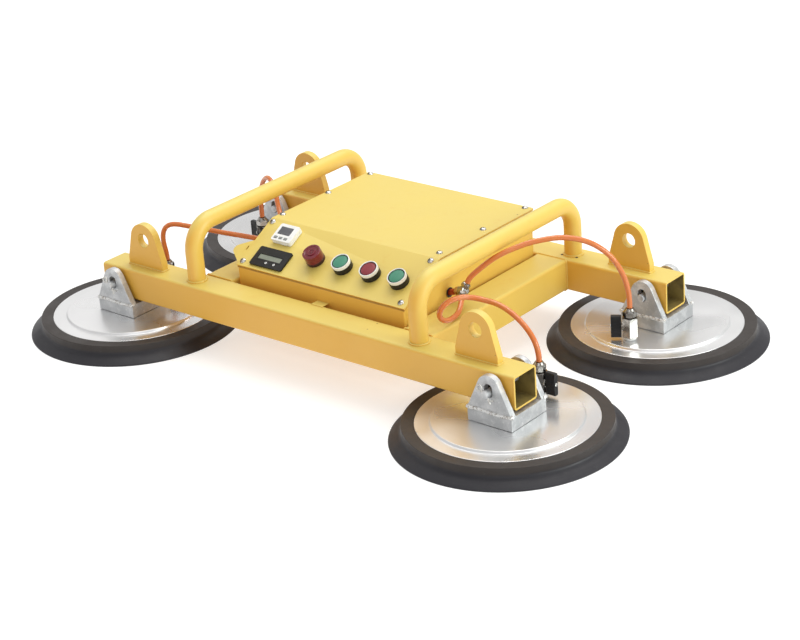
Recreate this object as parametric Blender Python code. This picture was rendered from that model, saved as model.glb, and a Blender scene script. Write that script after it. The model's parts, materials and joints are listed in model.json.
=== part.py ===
"""Battery vacuum lifter: a welded tube frame with a control box, two handles, four lifting lugs
and four round suction pads on pins. Metres, +Z up, the pads' lips stand on z = 0.
+X runs along the two beams, +Y from the operator's side to the back."""

import math

import bmesh
import bpy
from mathutils import Matrix, Vector

GAP = 0.0003  # clearance between pieces that touch

# Frame of square tube
TUBE = 0.050
TUBE_WALL = 0.003
TUBE_ROUND = 0.0045
BEAM_HALF = 0.397
BEAM_Y = 0.185
BEAM_LOW = 0.054
BEAM_TOP = BEAM_LOW + TUBE
SIDE_X = 0.1935
SIDE_WIDTH = 0.054

# Lifting lugs, one near each beam end
LUG_X = {"front_left": 0.3205, "front_right": 0.3205, "rear_left": 0.3145, "rear_right": 0.3205}
LUG_WIDTH = 0.0726
LUG_THICK = 0.012
LUG_STRAIGHT = 0.012
LUG_HOLE_Z = 0.1484
LUG_HOLE_R = 0.011
LUG_TOP_R = 0.0265

# Handles of bent pipe
HANDLE_X = 0.216
HANDLE_R = 0.0135
HANDLE_Z = 0.190
HANDLE_BEND = 0.040
HANDLE_REAR = {"left": 0.1965, "right": 0.185}

# Suction pads, measured from each pad's pin
PAD_X = 0.364
PAD_Y = BEAM_Y
PIN_Z = 0.079
PIN_R = 0.006
PIN_HOLE_R = 0.0064
PIN_INNER = 0.043
PIN_OUTER = 0.050
COTTER_R = 0.0017
COTTER_AT = 0.0462
SLOT_R = 0.0066
FLOAT = 0.006
PAD_SIDES = 40
LIP_R = 0.165
RING_R = 0.1465
RING_TOP = 0.0256
PLATE_R = 0.128
PLATE_LOW = 0.012
STEP_R = 0.1056
STEP_TOP = 0.0293
BRACKET_X = 0.075
BRACKET_Y = 0.0787
BLOCK_TOP = 0.0503
EAR_THICK = 0.010
EAR_TOP = 0.1045
EAR_TOP_R = 0.0185

# Shut-off valve on each pad, inboard of the pin
VALVE_IN = 0.0775
VALVE_SHIFT = {"front_left": 0.0015, "front_right": -0.0010, "rear_left": 0.0070, "rear_right": 0.0045}
VALVE_STEM_Z = 0.050
VALVE_TOP = 0.079
VALVE_BODY_R = 0.0125
VALVE_YAWS = {"front_left": 0, "front_right": 0, "rear_left": 172, "rear_right": 212}

# Control box
BOX_X = 0.1615
BOX_FRONT = -0.1505
BOX_REAR = 0.1594
BOX_LOW = 0.056
SHEET = 0.002
COVER_SHEET = 0.0025
COVER_X = 0.1630
COVER_FRONT = -0.1514
COVER_FRONT_Z = 0.1286
COVER_FOLD = -0.0656
COVER_TOP = 0.1749
COVER_REAR = 0.1626
FLANGE = 0.0145
FRONT_FLANGE = 0.0060
PANEL_SLOPE = math.atan2(COVER_TOP - COVER_FRONT_Z, COVER_FOLD - COVER_FRONT)
PANEL_LENGTH = math.hypot(COVER_TOP - COVER_FRONT_Z, COVER_FOLD - COVER_FRONT)

# Things on the sloping panel: across from its centre, up from its lower edge
BUTTONS = {"green_button_left": 0.0210, "red_button": 0.0744, "green_button_right": 0.1273}
BUTTON_UP = 0.0414
BUTTON_TRAVEL = 0.004
BUZZER_AT = (-0.0336, 0.0422)
METER_AT = (-0.1094, 0.0239)
METER_SIZE = (0.0640, 0.0354)
GAUGE_AT = (-0.1108, 0.0699)
GAUGE_SIZE = (0.0380, 0.0325)
KEY_MIDDLE = -0.0025
KEY_SPACING = 0.0097
KEY_UP = -0.0106
KEY_TRAVEL = 0.0005

# Hoses and their tees
HOSE_R = 0.004
HOSE_STEP = 0.016
HOSE_LEAD = 0.010
HOSE_DROP = 0.010
HOSE_HOLE = (BOX_X, -0.0475, 0.1155)
TEE = Vector((0.190, -0.051, 0.126))
TEE_REACH = 0.013
TEE_PORTS = {
    "right": {"rear": (0.38, 0.33, 0.86), "front": (0.46, -0.80, -0.38)},
    "left": {"rear": (-0.35, 0.93, -0.10), "front": (-0.95, -0.28, 0.10)},
}
HOSE_ROUTES = {
    "rear_right": [(0.2090, -0.0331, 0.1573), (0.2205, -0.0230, 0.1684), (0.2319, -0.0137, 0.1768),
                   (0.2440, -0.0025, 0.1835), (0.2650, 0.0190, 0.1912), (0.2950, 0.0490, 0.1937),
                   (0.3240, 0.0735, 0.1840), (0.3465, 0.0920, 0.1620), (0.3600, 0.1025, 0.1340),
                   (0.3668, 0.1068, 0.1080)],
    "front_right": [(0.2120, -0.0915, 0.1115), (0.2165, -0.1150, 0.1110), (0.2182, -0.1325, 0.1165),
                    (0.2195, -0.1430, 0.1280), (0.2235, -0.1425, 0.1400), (0.2300, -0.1320, 0.1485),
                    (0.2385, -0.1150, 0.1500), (0.2495, -0.0990, 0.1455), (0.2640, -0.0910, 0.1415),
                    (0.2820, -0.0900, 0.1400), (0.3020, -0.0930, 0.1365), (0.3240, -0.0975, 0.1290),
                    (0.3425, -0.1018, 0.1185), (0.3560, -0.1053, 0.1055)],
    "rear_left": [(-0.2060, -0.0100, 0.1200), (-0.2220, 0.0150, 0.1120), (-0.2430, 0.0380, 0.1085),
                  (-0.2630, 0.0560, 0.1120), (-0.2780, 0.0670, 0.1250), (-0.2900, 0.0760, 0.1420),
                  (-0.3040, 0.0850, 0.1550), (-0.3200, 0.0930, 0.1590), (-0.3360, 0.0995, 0.1510),
                  (-0.3485, 0.1040, 0.1340), (-0.3555, 0.1065, 0.1120)],
    "front_left": [(-0.2378, -0.0645, 0.1300), (-0.2652, -0.0695, 0.1303), (-0.2957, -0.0760, 0.1318),
                   (-0.3310, -0.0870, 0.1352), (-0.3480, -0.0930, 0.1368), (-0.3585, -0.0975, 0.1355),
                   (-0.3655, -0.1012, 0.1305), (-0.3682, -0.1045, 0.1220), (-0.3678, -0.1065, 0.1110),
                   (-0.3654, -0.1073, 0.1005)],
}

CORNERS = {
    "front_left": (-1, -1),
    "front_right": (1, -1),
    "rear_left": (-1, 1),
    "rear_right": (1, 1),
}

YELLOW = ("yellow_paint", (0.84, 0.55, 0.09), 0.38, 0.0)
RUBBER = ("black_rubber", (0.035, 0.033, 0.034), 0.62, 0.0)
ALUMINIUM = ("machined_aluminium", (0.80, 0.80, 0.80), 0.24, 1.0)
ZINC = ("zinc_steel", (0.62, 0.62, 0.61), 0.48, 1.0)
NICKEL = ("nickel", (0.74, 0.71, 0.66), 0.22, 1.0)
BLACK = ("black_plastic", (0.02, 0.02, 0.02), 0.42, 0.0)
WHITE = ("white_plastic", (0.86, 0.86, 0.84), 0.40, 0.0)
KEY_GREY = ("grey_key", (0.55, 0.56, 0.55), 0.50, 0.0)
GREEN = ("green_plastic", (0.04, 0.30, 0.19), 0.36, 0.0)
RED = ("red_plastic", (0.50, 0.03, 0.03), 0.36, 0.0)
BUZZER_RED = ("dark_red_plastic", (0.22, 0.01, 0.02), 0.28, 0.0)
HOSE_ORANGE = ("orange_hose", (0.80, 0.20, 0.04), 0.22, 0.0)
BATTERY_GREY = ("battery_case", (0.10, 0.11, 0.13), 0.50, 0.0)
MOTOR_STEEL = ("motor_steel", (0.40, 0.41, 0.43), 0.36, 1.0)
PUMP_CAST = ("cast_aluminium", (0.48, 0.49, 0.50), 0.50, 1.0)
BOARD_GREEN = ("circuit_board", (0.02, 0.18, 0.08), 0.45, 0.0)


def clear_scene():
    for obj in list(bpy.data.objects):
        bpy.data.objects.remove(obj)


def material(finish):
    name, colour, roughness, metallic = finish
    if name in bpy.data.materials:
        return bpy.data.materials[name]
    made = bpy.data.materials.new(name)
    made.use_nodes = True
    shader = made.node_tree.nodes["Principled BSDF"]
    shader.inputs["Base Color"].default_value = (*colour, 1)
    shader.inputs["Roughness"].default_value = roughness
    shader.inputs["Metallic"].default_value = metallic
    made.diffuse_color = (*colour, 1)
    return made


def place(obj, parent=None, location=(0, 0, 0), rotation=(0, 0, 0)):
    obj.parent = parent
    obj.location = location
    obj.rotation_euler = rotation
    return obj


def solid(name, bm, finish, parent=None, location=(0, 0, 0), rotation=(0, 0, 0)):
    """Turns a bmesh into a named, shaded and placed object."""
    bmesh.ops.recalc_face_normals(bm, faces=bm.faces)
    mesh = bpy.data.meshes.new(name)
    bm.to_mesh(mesh)
    bm.free()
    mesh.shade_smooth()
    mesh.set_sharp_from_angle(angle=math.radians(35))
    mesh.materials.append(material(finish))
    obj = bpy.data.objects.new(name, mesh)
    bpy.context.scene.collection.objects.link(obj)
    return place(obj, parent, location, rotation)


def empty(name, location=(0, 0, 0), rotation=(0, 0, 0)):
    obj = bpy.data.objects.new(name, None)
    obj.empty_display_size = 0.03
    bpy.context.scene.collection.objects.link(obj)
    return place(obj, None, location, rotation)


def combine(obj, operation, bm):
    """Cuts, joins or intersects obj with a hidden helper built in the same local frame."""
    name = f"{obj.name}_{operation.lower()}"
    helper = solid(name, bm, YELLOW, obj.parent, obj.location, obj.rotation_euler)
    helper.hide_render = True
    helper.display_type = "WIRE"
    modifier = obj.modifiers.new(operation.title(), "BOOLEAN")
    modifier.operation = operation
    modifier.object = helper
    modifier.solver = "EXACT"
    return obj


def circle(radius, count, centre=(0, 0), start=0.0):
    steps = [start + 2 * math.pi * i / count for i in range(count)]
    return [(centre[0] + radius * math.cos(a), centre[1] + radius * math.sin(a)) for a in steps]


def arc(centre, radius, start, end, count):
    """Points on an arc, angles in degrees."""
    steps = [math.radians(start + (end - start) * i / count) for i in range(count + 1)]
    return [(centre[0] + radius * math.cos(a), centre[1] + radius * math.sin(a)) for a in steps]


def rectangle(width, height, centre=(0, 0)):
    x, y = centre
    return [(x - width / 2, y - height / 2), (x + width / 2, y - height / 2),
            (x + width / 2, y + height / 2), (x - width / 2, y + height / 2)]


def rounded_rectangle(width, height, radius, count, centre=(0, 0)):
    x, y = width / 2 - radius, height / 2 - radius
    corners = [(x, y, 0), (-x, y, 90), (-x, -y, 180), (x, -y, 270)]
    return [p for cx, cy, a in corners
            for p in arc((centre[0] + cx, centre[1] + cy), radius, a, a + 90, count)]


def outline_point(axis, point, depth):
    """A point of a flat outline, at a depth: X outlines are (y, z), Y are (x, z), Z are (x, y)."""
    a, b = point
    return {"X": (depth, a, b), "Y": (a, depth, b), "Z": (a, b, depth)}[axis]


def prism(bm, outline, low, high, axis="Z"):
    ends = [[bm.verts.new(outline_point(axis, p, depth)) for p in outline] for depth in (low, high)]
    count = len(outline)
    for i in range(count):
        j = (i + 1) % count
        bm.faces.new((ends[0][i], ends[0][j], ends[1][j], ends[1][i]))
    bm.faces.new(ends[0][::-1])
    bm.faces.new(ends[1])
    return bm


def hollow_prism(outer, inner, low, high, axis):
    """A tube of constant section: both outlines have the same number of points."""
    bm = bmesh.new()
    loops = [[bm.verts.new(outline_point(axis, p, depth)) for p in outline]
             for outline in (outer, inner) for depth in (low, high)]
    outer_low, outer_high, inner_low, inner_high = loops
    count = len(outer)
    for i in range(count):
        j = (i + 1) % count
        bm.faces.new((outer_low[i], outer_low[j], outer_high[j], outer_high[i]))
        bm.faces.new((inner_low[j], inner_low[i], inner_high[i], inner_high[j]))
        bm.faces.new((outer_low[j], outer_low[i], inner_low[i], inner_low[j]))
        bm.faces.new((outer_high[i], outer_high[j], inner_high[j], inner_high[i]))
    return bm


def lathe(bm, profile, count):
    """Turns a closed profile of (radius, z) around Z. A radius of 0 makes a single point."""
    rings = []
    for radius, z in profile:
        points = circle(radius, count) if radius > 0 else [(0, 0)]
        rings.append([bm.verts.new((x, y, z)) for x, y in points])
    for ring, after in zip(rings, rings[1:] + rings[:1]):
        if len(ring) == 1 and len(after) == 1:
            continue
        for i in range(count):
            j = (i + 1) % count
            corners = [ring[i % len(ring)], ring[j % len(ring)], after[j % len(after)],
                       after[i % len(after)]]
            bm.faces.new(list(dict.fromkeys(corners)))
    return bm


def rod(bm, start, end, radius, count, end_radius=None):
    """A straight bar between two points, round or with as many flats as count."""
    start, end = Vector(start), Vector(end)
    along = end - start
    turn = along.to_track_quat("Z", "Y").to_matrix().to_4x4()
    matrix = Matrix.Translation((start + end) / 2) @ turn
    bmesh.ops.create_cone(bm, cap_ends=True, segments=count, radius1=radius,
                          radius2=end_radius or radius, depth=along.length, matrix=matrix)
    return bm


def block(bm, size, centre):
    matrix = Matrix.Translation(centre) @ Matrix.Diagonal((*size, 1))
    bmesh.ops.create_cube(bm, size=1, matrix=matrix)
    return bm


def tangent_outline(half_width, low, straight, centre_z, radius, count):
    """A plate's outline in (x, z): a straight base, sides that lean in, and a round top they touch."""
    shoulder = Vector((half_width, low + straight))
    centre = Vector((0, centre_z))
    reach = shoulder - centre
    lean = math.acos(radius / reach.length)
    start = math.degrees(math.atan2(reach.y, reach.x) + lean)
    top = arc((0, centre_z), radius, start, 180 - start, count)
    return [(-half_width, low), (half_width, low), (half_width, low + straight), *top,
            (-half_width, low + straight)]


def smooth_points(route, step):
    """Points about a step apart on a smooth curve through the route's own points."""
    knots = [Vector(p) for p in route]
    knots = [2 * knots[0] - knots[1], *knots, 2 * knots[-1] - knots[-2]]
    found = []
    for before, a, b, after in zip(knots, knots[1:], knots[2:], knots[3:]):
        count = max(1, round((b - a).length / step))
        for i in range(count):
            t = i / count
            found.append(0.5 * (2 * a + (b - before) * t + (2 * before - 5 * a + 4 * b - after) * t**2
                                + (3 * a - before - 3 * b + after) * t**3))
    return [*found, knots[-2]]


def round_bar(name, points, radius, resolution, finish):
    """A bent round bar or hose with flat ends, as a bevelled curve."""
    curve = bpy.data.curves.new(name, "CURVE")
    curve.dimensions = "3D"
    curve.bevel_depth = radius
    curve.bevel_resolution = resolution
    curve.use_fill_caps = True
    spline = curve.splines.new("POLY")
    spline.points.add(len(points) - 1)
    for point, place_at in zip(spline.points, points):
        point.co = (*place_at, 1)
    curve.materials.append(material(finish))
    obj = bpy.data.objects.new(name, curve)
    bpy.context.scene.collection.objects.link(obj)
    return obj


def tube_section(width, half, axis):
    """Rolled tube of that width and half length, as high as all the frame's tube."""
    outer = rounded_rectangle(width, TUBE, TUBE_ROUND, 2)
    bore = (width - 2 * TUBE_WALL, TUBE - 2 * TUBE_WALL)
    inner = rounded_rectangle(*bore, TUBE_ROUND - TUBE_WALL, 2)
    return hollow_prism(outer, inner, -half, half, axis)


def make_beams():
    middle = BEAM_LOW + TUBE / 2
    for name, y in (("front_beam", -BEAM_Y), ("rear_beam", BEAM_Y)):
        beam = solid(name, tube_section(TUBE, BEAM_HALF, "X"), YELLOW, None, (0, y, middle))
        holes = bmesh.new()
        for x in (-PAD_X, PAD_X):
            rod(holes, (x, -TUBE, PIN_Z - middle), (x, TUBE, PIN_Z - middle), PIN_HOLE_R, 16)
        combine(beam, "DIFFERENCE", holes)
    half = BEAM_Y - TUBE / 2 - GAP
    for name, x in (("left_side_member", -SIDE_X), ("right_side_member", SIDE_X)):
        solid(name, tube_section(SIDE_WIDTH, half, "Y"), YELLOW, None, (x, 0, middle))


def make_lugs():
    outline = tangent_outline(LUG_WIDTH / 2, 0, LUG_STRAIGHT, LUG_HOLE_Z - BEAM_TOP - GAP, LUG_TOP_R, 10)
    for corner, (sx, sy) in CORNERS.items():
        plate = prism(bmesh.new(), outline, -LUG_THICK / 2, LUG_THICK / 2, "Y")
        place_at = (sx * LUG_X[corner], sy * BEAM_Y, BEAM_TOP + GAP)
        lug = solid(f"lifting_lug_{corner}", plate, YELLOW, None, place_at)
        hole = circle(LUG_HOLE_R, 24, (0, LUG_HOLE_Z - BEAM_TOP - GAP))
        combine(lug, "DIFFERENCE", prism(bmesh.new(), hole, -LUG_THICK, LUG_THICK, "Y"))


def make_handles():
    foot, bend_z = BEAM_TOP + GAP, HANDLE_Z - HANDLE_BEND
    for side, x in (("left", -HANDLE_X), ("right", HANDLE_X)):
        front, rear = -BEAM_Y, HANDLE_REAR[side]
        path = [(front, foot), *arc((front + HANDLE_BEND, bend_z), HANDLE_BEND, 180, 90, 7),
                *arc((rear - HANDLE_BEND, bend_z), HANDLE_BEND, 90, 0, 7), (rear, foot)]
        round_bar(f"{side}_handle", [(x, y, z) for y, z in path], HANDLE_R, 6, YELLOW)


def make_seal(name, pivot, floor):
    """Rubber ring: a flat top, an upright wall, then a skirt that flares to the lip."""
    inside, groove = PLATE_R + GAP, 0.116
    profile = [(inside, RING_TOP), (RING_R - 0.0008, RING_TOP), (RING_R, RING_TOP - 0.0008),
               (RING_R, 0.0145), (0.1484, 0.0113), (0.1530, 0.0087), (LIP_R, 0.0012),
               (LIP_R - 0.0006, 0), (0.1530, 0), (0.1440, 0.0048), (groove, 0.0078),
               (groove, PLATE_LOW - GAP), (inside, PLATE_LOW - GAP)]
    solid(name, lathe(bmesh.new(), profile, PAD_SIDES), RUBBER, pivot, floor)


def make_plate(name, pivot, floor, valve):
    profile = [(0, STEP_TOP), (STEP_R, STEP_TOP), (STEP_R + 0.0022, RING_TOP), (PLATE_R - 0.001, RING_TOP),
               (PLATE_R, RING_TOP - 0.001), (PLATE_R, PLATE_LOW), (0, PLATE_LOW)]
    plate = solid(name, lathe(bmesh.new(), profile, PAD_SIDES), ALUMINIUM, pivot, floor)
    hole = prism(bmesh.new(), circle(0.0056, 12, valve), 0, 0.05)
    combine(plate, "DIFFERENCE", hole)


def make_bracket(name, pivot, floor):
    """One welded bracket: a block with two slotted ears flush with its faces."""
    half, inner = BRACKET_Y / 2, BRACKET_Y / 2 - EAR_THICK
    low, top = STEP_TOP + GAP, 0.12
    section = [(-half, low), (half, low), (half, top), (inner, top), (inner, BLOCK_TOP),
               (-inner, BLOCK_TOP), (-inner, top), (-half, top)]
    bracket = solid(name, prism(bmesh.new(), section, -0.06, 0.06, "X"), ZINC, pivot, floor)
    face = tangent_outline(BRACKET_X / 2, low, BLOCK_TOP - low, EAR_TOP - EAR_TOP_R, EAR_TOP_R, 10)
    combine(bracket, "INTERSECT", prism(bmesh.new(), face, -0.06, 0.06, "Y"))
    slot_low, slot_high = PIN_Z, PIN_Z + FLOAT + 0.0004
    slot = [*arc((0, slot_low), SLOT_R, 180, 360, 8), *arc((0, slot_high), SLOT_R, 0, 180, 8)]
    combine(bracket, "DIFFERENCE", prism(bmesh.new(), slot, -0.06, 0.06, "Y"))


def make_pin(name, pivot):
    """Clevis pin. Its inboard end is plain and its outboard end is drilled for a split pin."""
    shape = bmesh.new()
    rod(shape, (0, -PIN_INNER, 0), (0, PIN_OUTER, 0), PIN_R, 16)
    pin = solid(name, shape, ZINC, pivot)
    hole = rod(bmesh.new(), (-0.02, COTTER_AT, 0), (0.02, COTTER_AT, 0), COTTER_R, 8)
    combine(pin, "DIFFERENCE", hole)


def make_valve(corner, pivot, floor, valve_at):
    """Small ball valve, screwed into the plate, with its lever on a stem to one side."""
    yaw = math.radians(VALVE_YAWS[corner]) - pivot.rotation_euler.z
    foot = Vector((*valve_at, 0)) + Vector(floor)
    body = prism(bmesh.new(), circle(VALVE_BODY_R, 6, start=math.radians(30)), 0.0345, 0.0645)
    valve = solid(f"valve_body_{corner}", body, NICKEL, pivot, foot, (0, 0, yaw))
    neck = lathe(bmesh.new(), [(0, 0.0145), (0.0048, 0.0145), (0.0048, 0.0292), (0.0052, 0.0296),
                               (0.0085, 0.0296), (0.0085, 0.0590), (0.0072, 0.0670), (0.0072, 0.0740),
                               (0.0062, VALVE_TOP), (0, VALVE_TOP)], 16)
    combine(valve, "UNION", neck)
    nut = prism(bmesh.new(), circle(0.0105, 6), 0.0660, 0.0750)
    combine(valve, "UNION", nut)
    boss = rod(bmesh.new(), (0.004, 0, VALVE_STEM_Z), (0.0125, 0, VALVE_STEM_Z), 0.0065, 12)
    combine(valve, "UNION", boss)
    stem = foot + Vector((0, 0, VALVE_STEM_Z))
    wing = prism(bmesh.new(), rounded_rectangle(0.0080, 0.0360, 0.0025, 2), 0.0128, 0.0295, "X")
    solid(f"valve_lever_{corner}", wing, BLACK, pivot, stem, (0, 0, yaw))


def make_pads():
    for corner, (sx, sy) in CORNERS.items():
        turned = 0 if sy > 0 else math.pi
        pivot = empty(f"pad_pivot_{corner}", (sx * PAD_X, sy * PAD_Y, PIN_Z), (0, 0, turned))
        floor = (0, 0, -PIN_Z)
        valve_at = (sy * VALVE_SHIFT[corner], -VALVE_IN)
        make_seal(f"pad_seal_{corner}", pivot, floor)
        make_plate(f"pad_plate_{corner}", pivot, floor, valve_at)
        make_bracket(f"pad_bracket_{corner}", pivot, floor)
        make_pin(f"pivot_pin_{corner}", pivot)
        make_valve(corner, pivot, floor, valve_at)


def make_housing():
    """Folded sheet tub with an inward flange that follows the slope and carries the cover, and four
    spacers that bear on the side members."""
    slope = math.tan(PANEL_SLOPE)

    def section(front_inset, rear_inset, low, below):
        """The tub's outline in (y, z), inset from the walls and set below the cover's top face."""
        front, rear = BOX_FRONT + front_inset, BOX_REAR - rear_inset
        front_z = COVER_FRONT_Z + (front - COVER_FRONT) * slope - below / math.cos(PANEL_SLOPE)
        fold = COVER_FOLD + below * math.tan(PANEL_SLOPE / 2)
        top = COVER_TOP - below
        return [(front, low), (rear, low), (rear, top), (fold, top), (front, front_z)]

    under = COVER_SHEET + GAP
    walls = prism(bmesh.new(), section(0, 0, BOX_LOW, under), -BOX_X, BOX_X, "X")
    tub = solid("box_housing", walls, YELLOW)
    inside = section(SHEET, SHEET, BOX_LOW + SHEET, under + SHEET)
    combine(tub, "DIFFERENCE", prism(bmesh.new(), inside, -BOX_X + SHEET, BOX_X - SHEET, "X"))
    opening = section(FRONT_FLANGE, FLANGE, 0.110, -0.02)
    mouth = BOX_X - FLANGE
    combine(tub, "DIFFERENCE", prism(bmesh.new(), opening, -mouth, mouth, "X"))
    _, hole_y, hole_z = HOSE_HOLE
    holes = rod(bmesh.new(), (-0.2, hole_y, hole_z), (0.2, hole_y, hole_z), 0.0066, 16)
    combine(tub, "DIFFERENCE", holes)
    spacers = bmesh.new()
    reach = SIDE_X - SIDE_WIDTH / 2 - GAP
    for x in (-1, 1):
        for y in (-0.105, 0.105):
            middle = (x * (reach + BOX_X - 0.001) / 2, y, 0.080)
            block(spacers, (reach - BOX_X + 0.001, 0.030, 0.024), middle)
    combine(tub, "UNION", spacers)


def make_cover(panel):
    """Bent plate: flat top, sloping panel, and a small slotted ear beside the panel."""
    t, turn = COVER_SHEET, math.tan(PANEL_SLOPE / 2)
    up = Vector((math.cos(PANEL_SLOPE), math.sin(PANEL_SLOPE)))
    inward = Vector((up.y, -up.x))
    front = Vector((COVER_FRONT, COVER_FRONT_Z))
    front_inner = front + t * inward
    section = [(COVER_REAR, COVER_TOP), (COVER_FOLD, COVER_TOP), tuple(front), tuple(front_inner),
               (COVER_FOLD + t * turn, COVER_TOP - t), (COVER_REAR, COVER_TOP - t)]
    cover = solid("box_cover", prism(bmesh.new(), section, -COVER_X, COVER_X, "X"), YELLOW)
    ear = [(-0.158, 0.053), (-0.158, 0.003), (-0.1660, 0.006), *arc((-0.1790, 0.0275), 0.0095, 240, 120, 8),
           (-0.1660, 0.048)]
    holes = [rectangle(0.060, 0.032, METER_AT), rectangle(0.034, 0.028, GAUGE_AT),
             circle(0.0112, 20, BUZZER_AT), rectangle(0.0022, 0.0082, (-0.1657, 0.0335))]
    holes += [circle(0.0112, 20, (x, BUTTON_UP)) for x in BUTTONS.values()]
    to_panel = panel.matrix_basis
    added = prism(bmesh.new(), ear, -t, 0)
    added.transform(to_panel)
    combine(cover, "UNION", added)
    cuts = bmesh.new()
    for outline in holes:
        prism(cuts, outline, -0.02, 0.02)
    cuts.transform(to_panel)
    combine(cover, "DIFFERENCE", cuts)


def make_hour_meter(panel):
    front = prism(bmesh.new(), rounded_rectangle(*METER_SIZE, 0.003, 2), GAP, 0.0035)
    meter = solid("hour_meter", front, BLACK, panel, (*METER_AT, 0))
    combine(meter, "UNION", block(bmesh.new(), (0.058, 0.030, 0.026), (0, 0, -0.0115)))
    combine(meter, "DIFFERENCE", block(bmesh.new(), (0.0450, 0.0092, 0.003), (-0.0010, -0.0006, 0.0040)))


def make_vacuum_gauge(panel):
    """Digital vacuum switch: a white case with a window and three small keys."""
    case = prism(bmesh.new(), rounded_rectangle(*GAUGE_SIZE, 0.002, 2), GAP, 0.0085)
    gauge = solid("vacuum_gauge", case, WHITE, panel, (*GAUGE_AT, 0))
    combine(gauge, "UNION", block(bmesh.new(), (0.032, 0.026, 0.028), (0, 0, -0.0135)))
    pockets = block(bmesh.new(), (0.0245, 0.0150, 0.002), (-0.0023, 0.0034, 0.0085))
    for i in (-1, 0, 1):
        block(pockets, (0.0070, 0.0046, 0.0050), (KEY_MIDDLE + i * KEY_SPACING, KEY_UP, 0.0085))
    combine(gauge, "DIFFERENCE", pockets)
    for i, side in ((-1, "left"), (0, "middle"), (1, "right")):
        at = (GAUGE_AT[0] + KEY_MIDDLE + i * KEY_SPACING, GAUGE_AT[1] + KEY_UP, 0.0085)
        key = prism(bmesh.new(), rounded_rectangle(0.0062, 0.0038, 0.0008, 1), -0.0017, 0.0006)
        solid(f"gauge_key_{side}", key, KEY_GREY, panel, at)


def make_buzzer(panel):
    profile = [(0, -0.022), (0.0105, -0.022), (0.0105, GAP), (0.0146, GAP), (0.0146, 0.0055),
               (0.0141, 0.0060), (0.0141, 0.0174), (0.0126, 0.0190), (0, 0.0196)]
    solid("warning_buzzer", lathe(bmesh.new(), profile, 20), BUZZER_RED, panel, (*BUZZER_AT, 0))


def make_buttons(panel):
    """Push buttons: a collar and bezel through the panel, and a cap that slides in the bezel's bore."""
    bezel = [(0.0106, -0.0350), (0.0106, GAP), (0.0148, GAP), (0.0148, 0.0093), (0.0145, 0.0098),
             (0.0145, 0.0143), (0.0138, 0.0153), (0.0129, 0.0153), (0.0129, 0.0068), (0.0062, 0.0068),
             (0.0062, -0.0280), (0, -0.0280), (0, -0.0350)]
    cap = [(0, -0.0060), (0.0055, -0.0060), (0.0055, 0.0115), (0.0122, 0.0115), (0.0122, 0.0146),
           (0.0116, 0.0152), (0, 0.0154)]
    for name, x in BUTTONS.items():
        at = (x, BUTTON_UP, 0)
        solid(f"{name}_bezel", lathe(bmesh.new(), bezel, 20), WHITE, panel, at)
        finish = RED if name.startswith("red") else GREEN
        solid(f"{name}_cap", lathe(bmesh.new(), cap, 20), finish, panel, at)


def make_works():
    """What the box holds: battery, pump with its motor, solenoid valve, filter and control board."""
    floor = BOX_LOW + SHEET + GAP
    case = prism(bmesh.new(), rounded_rectangle(0.150, 0.098, 0.004, 1), 0, 0.090)
    battery = solid("battery", case, BATTERY_GREY, None, (-0.078, 0.085, floor))
    posts = bmesh.new()
    for x in (-0.055, 0.055):
        rod(posts, (x, -0.032, 0.085), (x, -0.032, 0.096), 0.006, 10)
    combine(battery, "UNION", posts)
    motor = solid("pump_motor", rod(bmesh.new(), (0, 0, 0), (0.080, 0, 0), 0.028, 20), MOTOR_STEEL, None,
                  (0.018, 0.085, floor + 0.034))
    combine(motor, "UNION", block(bmesh.new(), (0.056, 0.046, 0.014), (0.040, 0, -0.027)))
    head = prism(bmesh.new(), rounded_rectangle(0.062, 0.072, 0.006, 2), 0.0805, 0.128, "X")
    pump = solid("pump_head", head, PUMP_CAST, None, (0.018, 0.085, floor + 0.040))
    ports = bmesh.new()
    for y in (-0.015, 0.015):
        rod(ports, (0.104, y, 0.030), (0.104, y, 0.048), 0.005, 10)
    combine(pump, "UNION", ports)
    body = block(bmesh.new(), (0.040, 0.030, 0.024), (0, 0, 0.012))
    solenoid = solid("solenoid_valve", body, BLACK, None, (0.060, -0.020, floor))
    combine(solenoid, "UNION", block(bmesh.new(), (0.024, 0.024, 0.040), (0, 0, 0.038)))
    shell = [(0, 0), (0.020, 0), (0.022, 0.004), (0.022, 0.050), (0.014, 0.056), (0.014, 0.062), (0, 0.062)]
    solid("vacuum_filter", lathe(bmesh.new(), shell, 20), BLACK, None, (0.120, -0.010, floor))
    board = block(bmesh.new(), (0.130, 0.085, 0.0016), (0, 0, 0.0060))
    control = solid("control_board", board, BOARD_GREEN, None, (-0.080, -0.045, floor))
    parts = bmesh.new()
    for x, y, size in ((-0.040, 0.020, 0.020), (-0.010, 0.022, 0.020), (0.035, -0.010, 0.026)):
        block(parts, (size, 0.016, 0.016), (x, y, 0.014))
    for x in (-0.058, 0.058):
        for y in (-0.036, 0.036):
            rod(parts, (x, y, 0), (x, y, 0.0064), 0.0035, 8)
    combine(control, "UNION", parts)


def tee_point(side, port, reach):
    """A point that far out along a tee's port."""
    centre = Vector((TEE.x if side == "right" else -TEE.x, TEE.y, TEE.z))
    return centre + Vector(TEE_PORTS[side][port]).normalized() * reach


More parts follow.
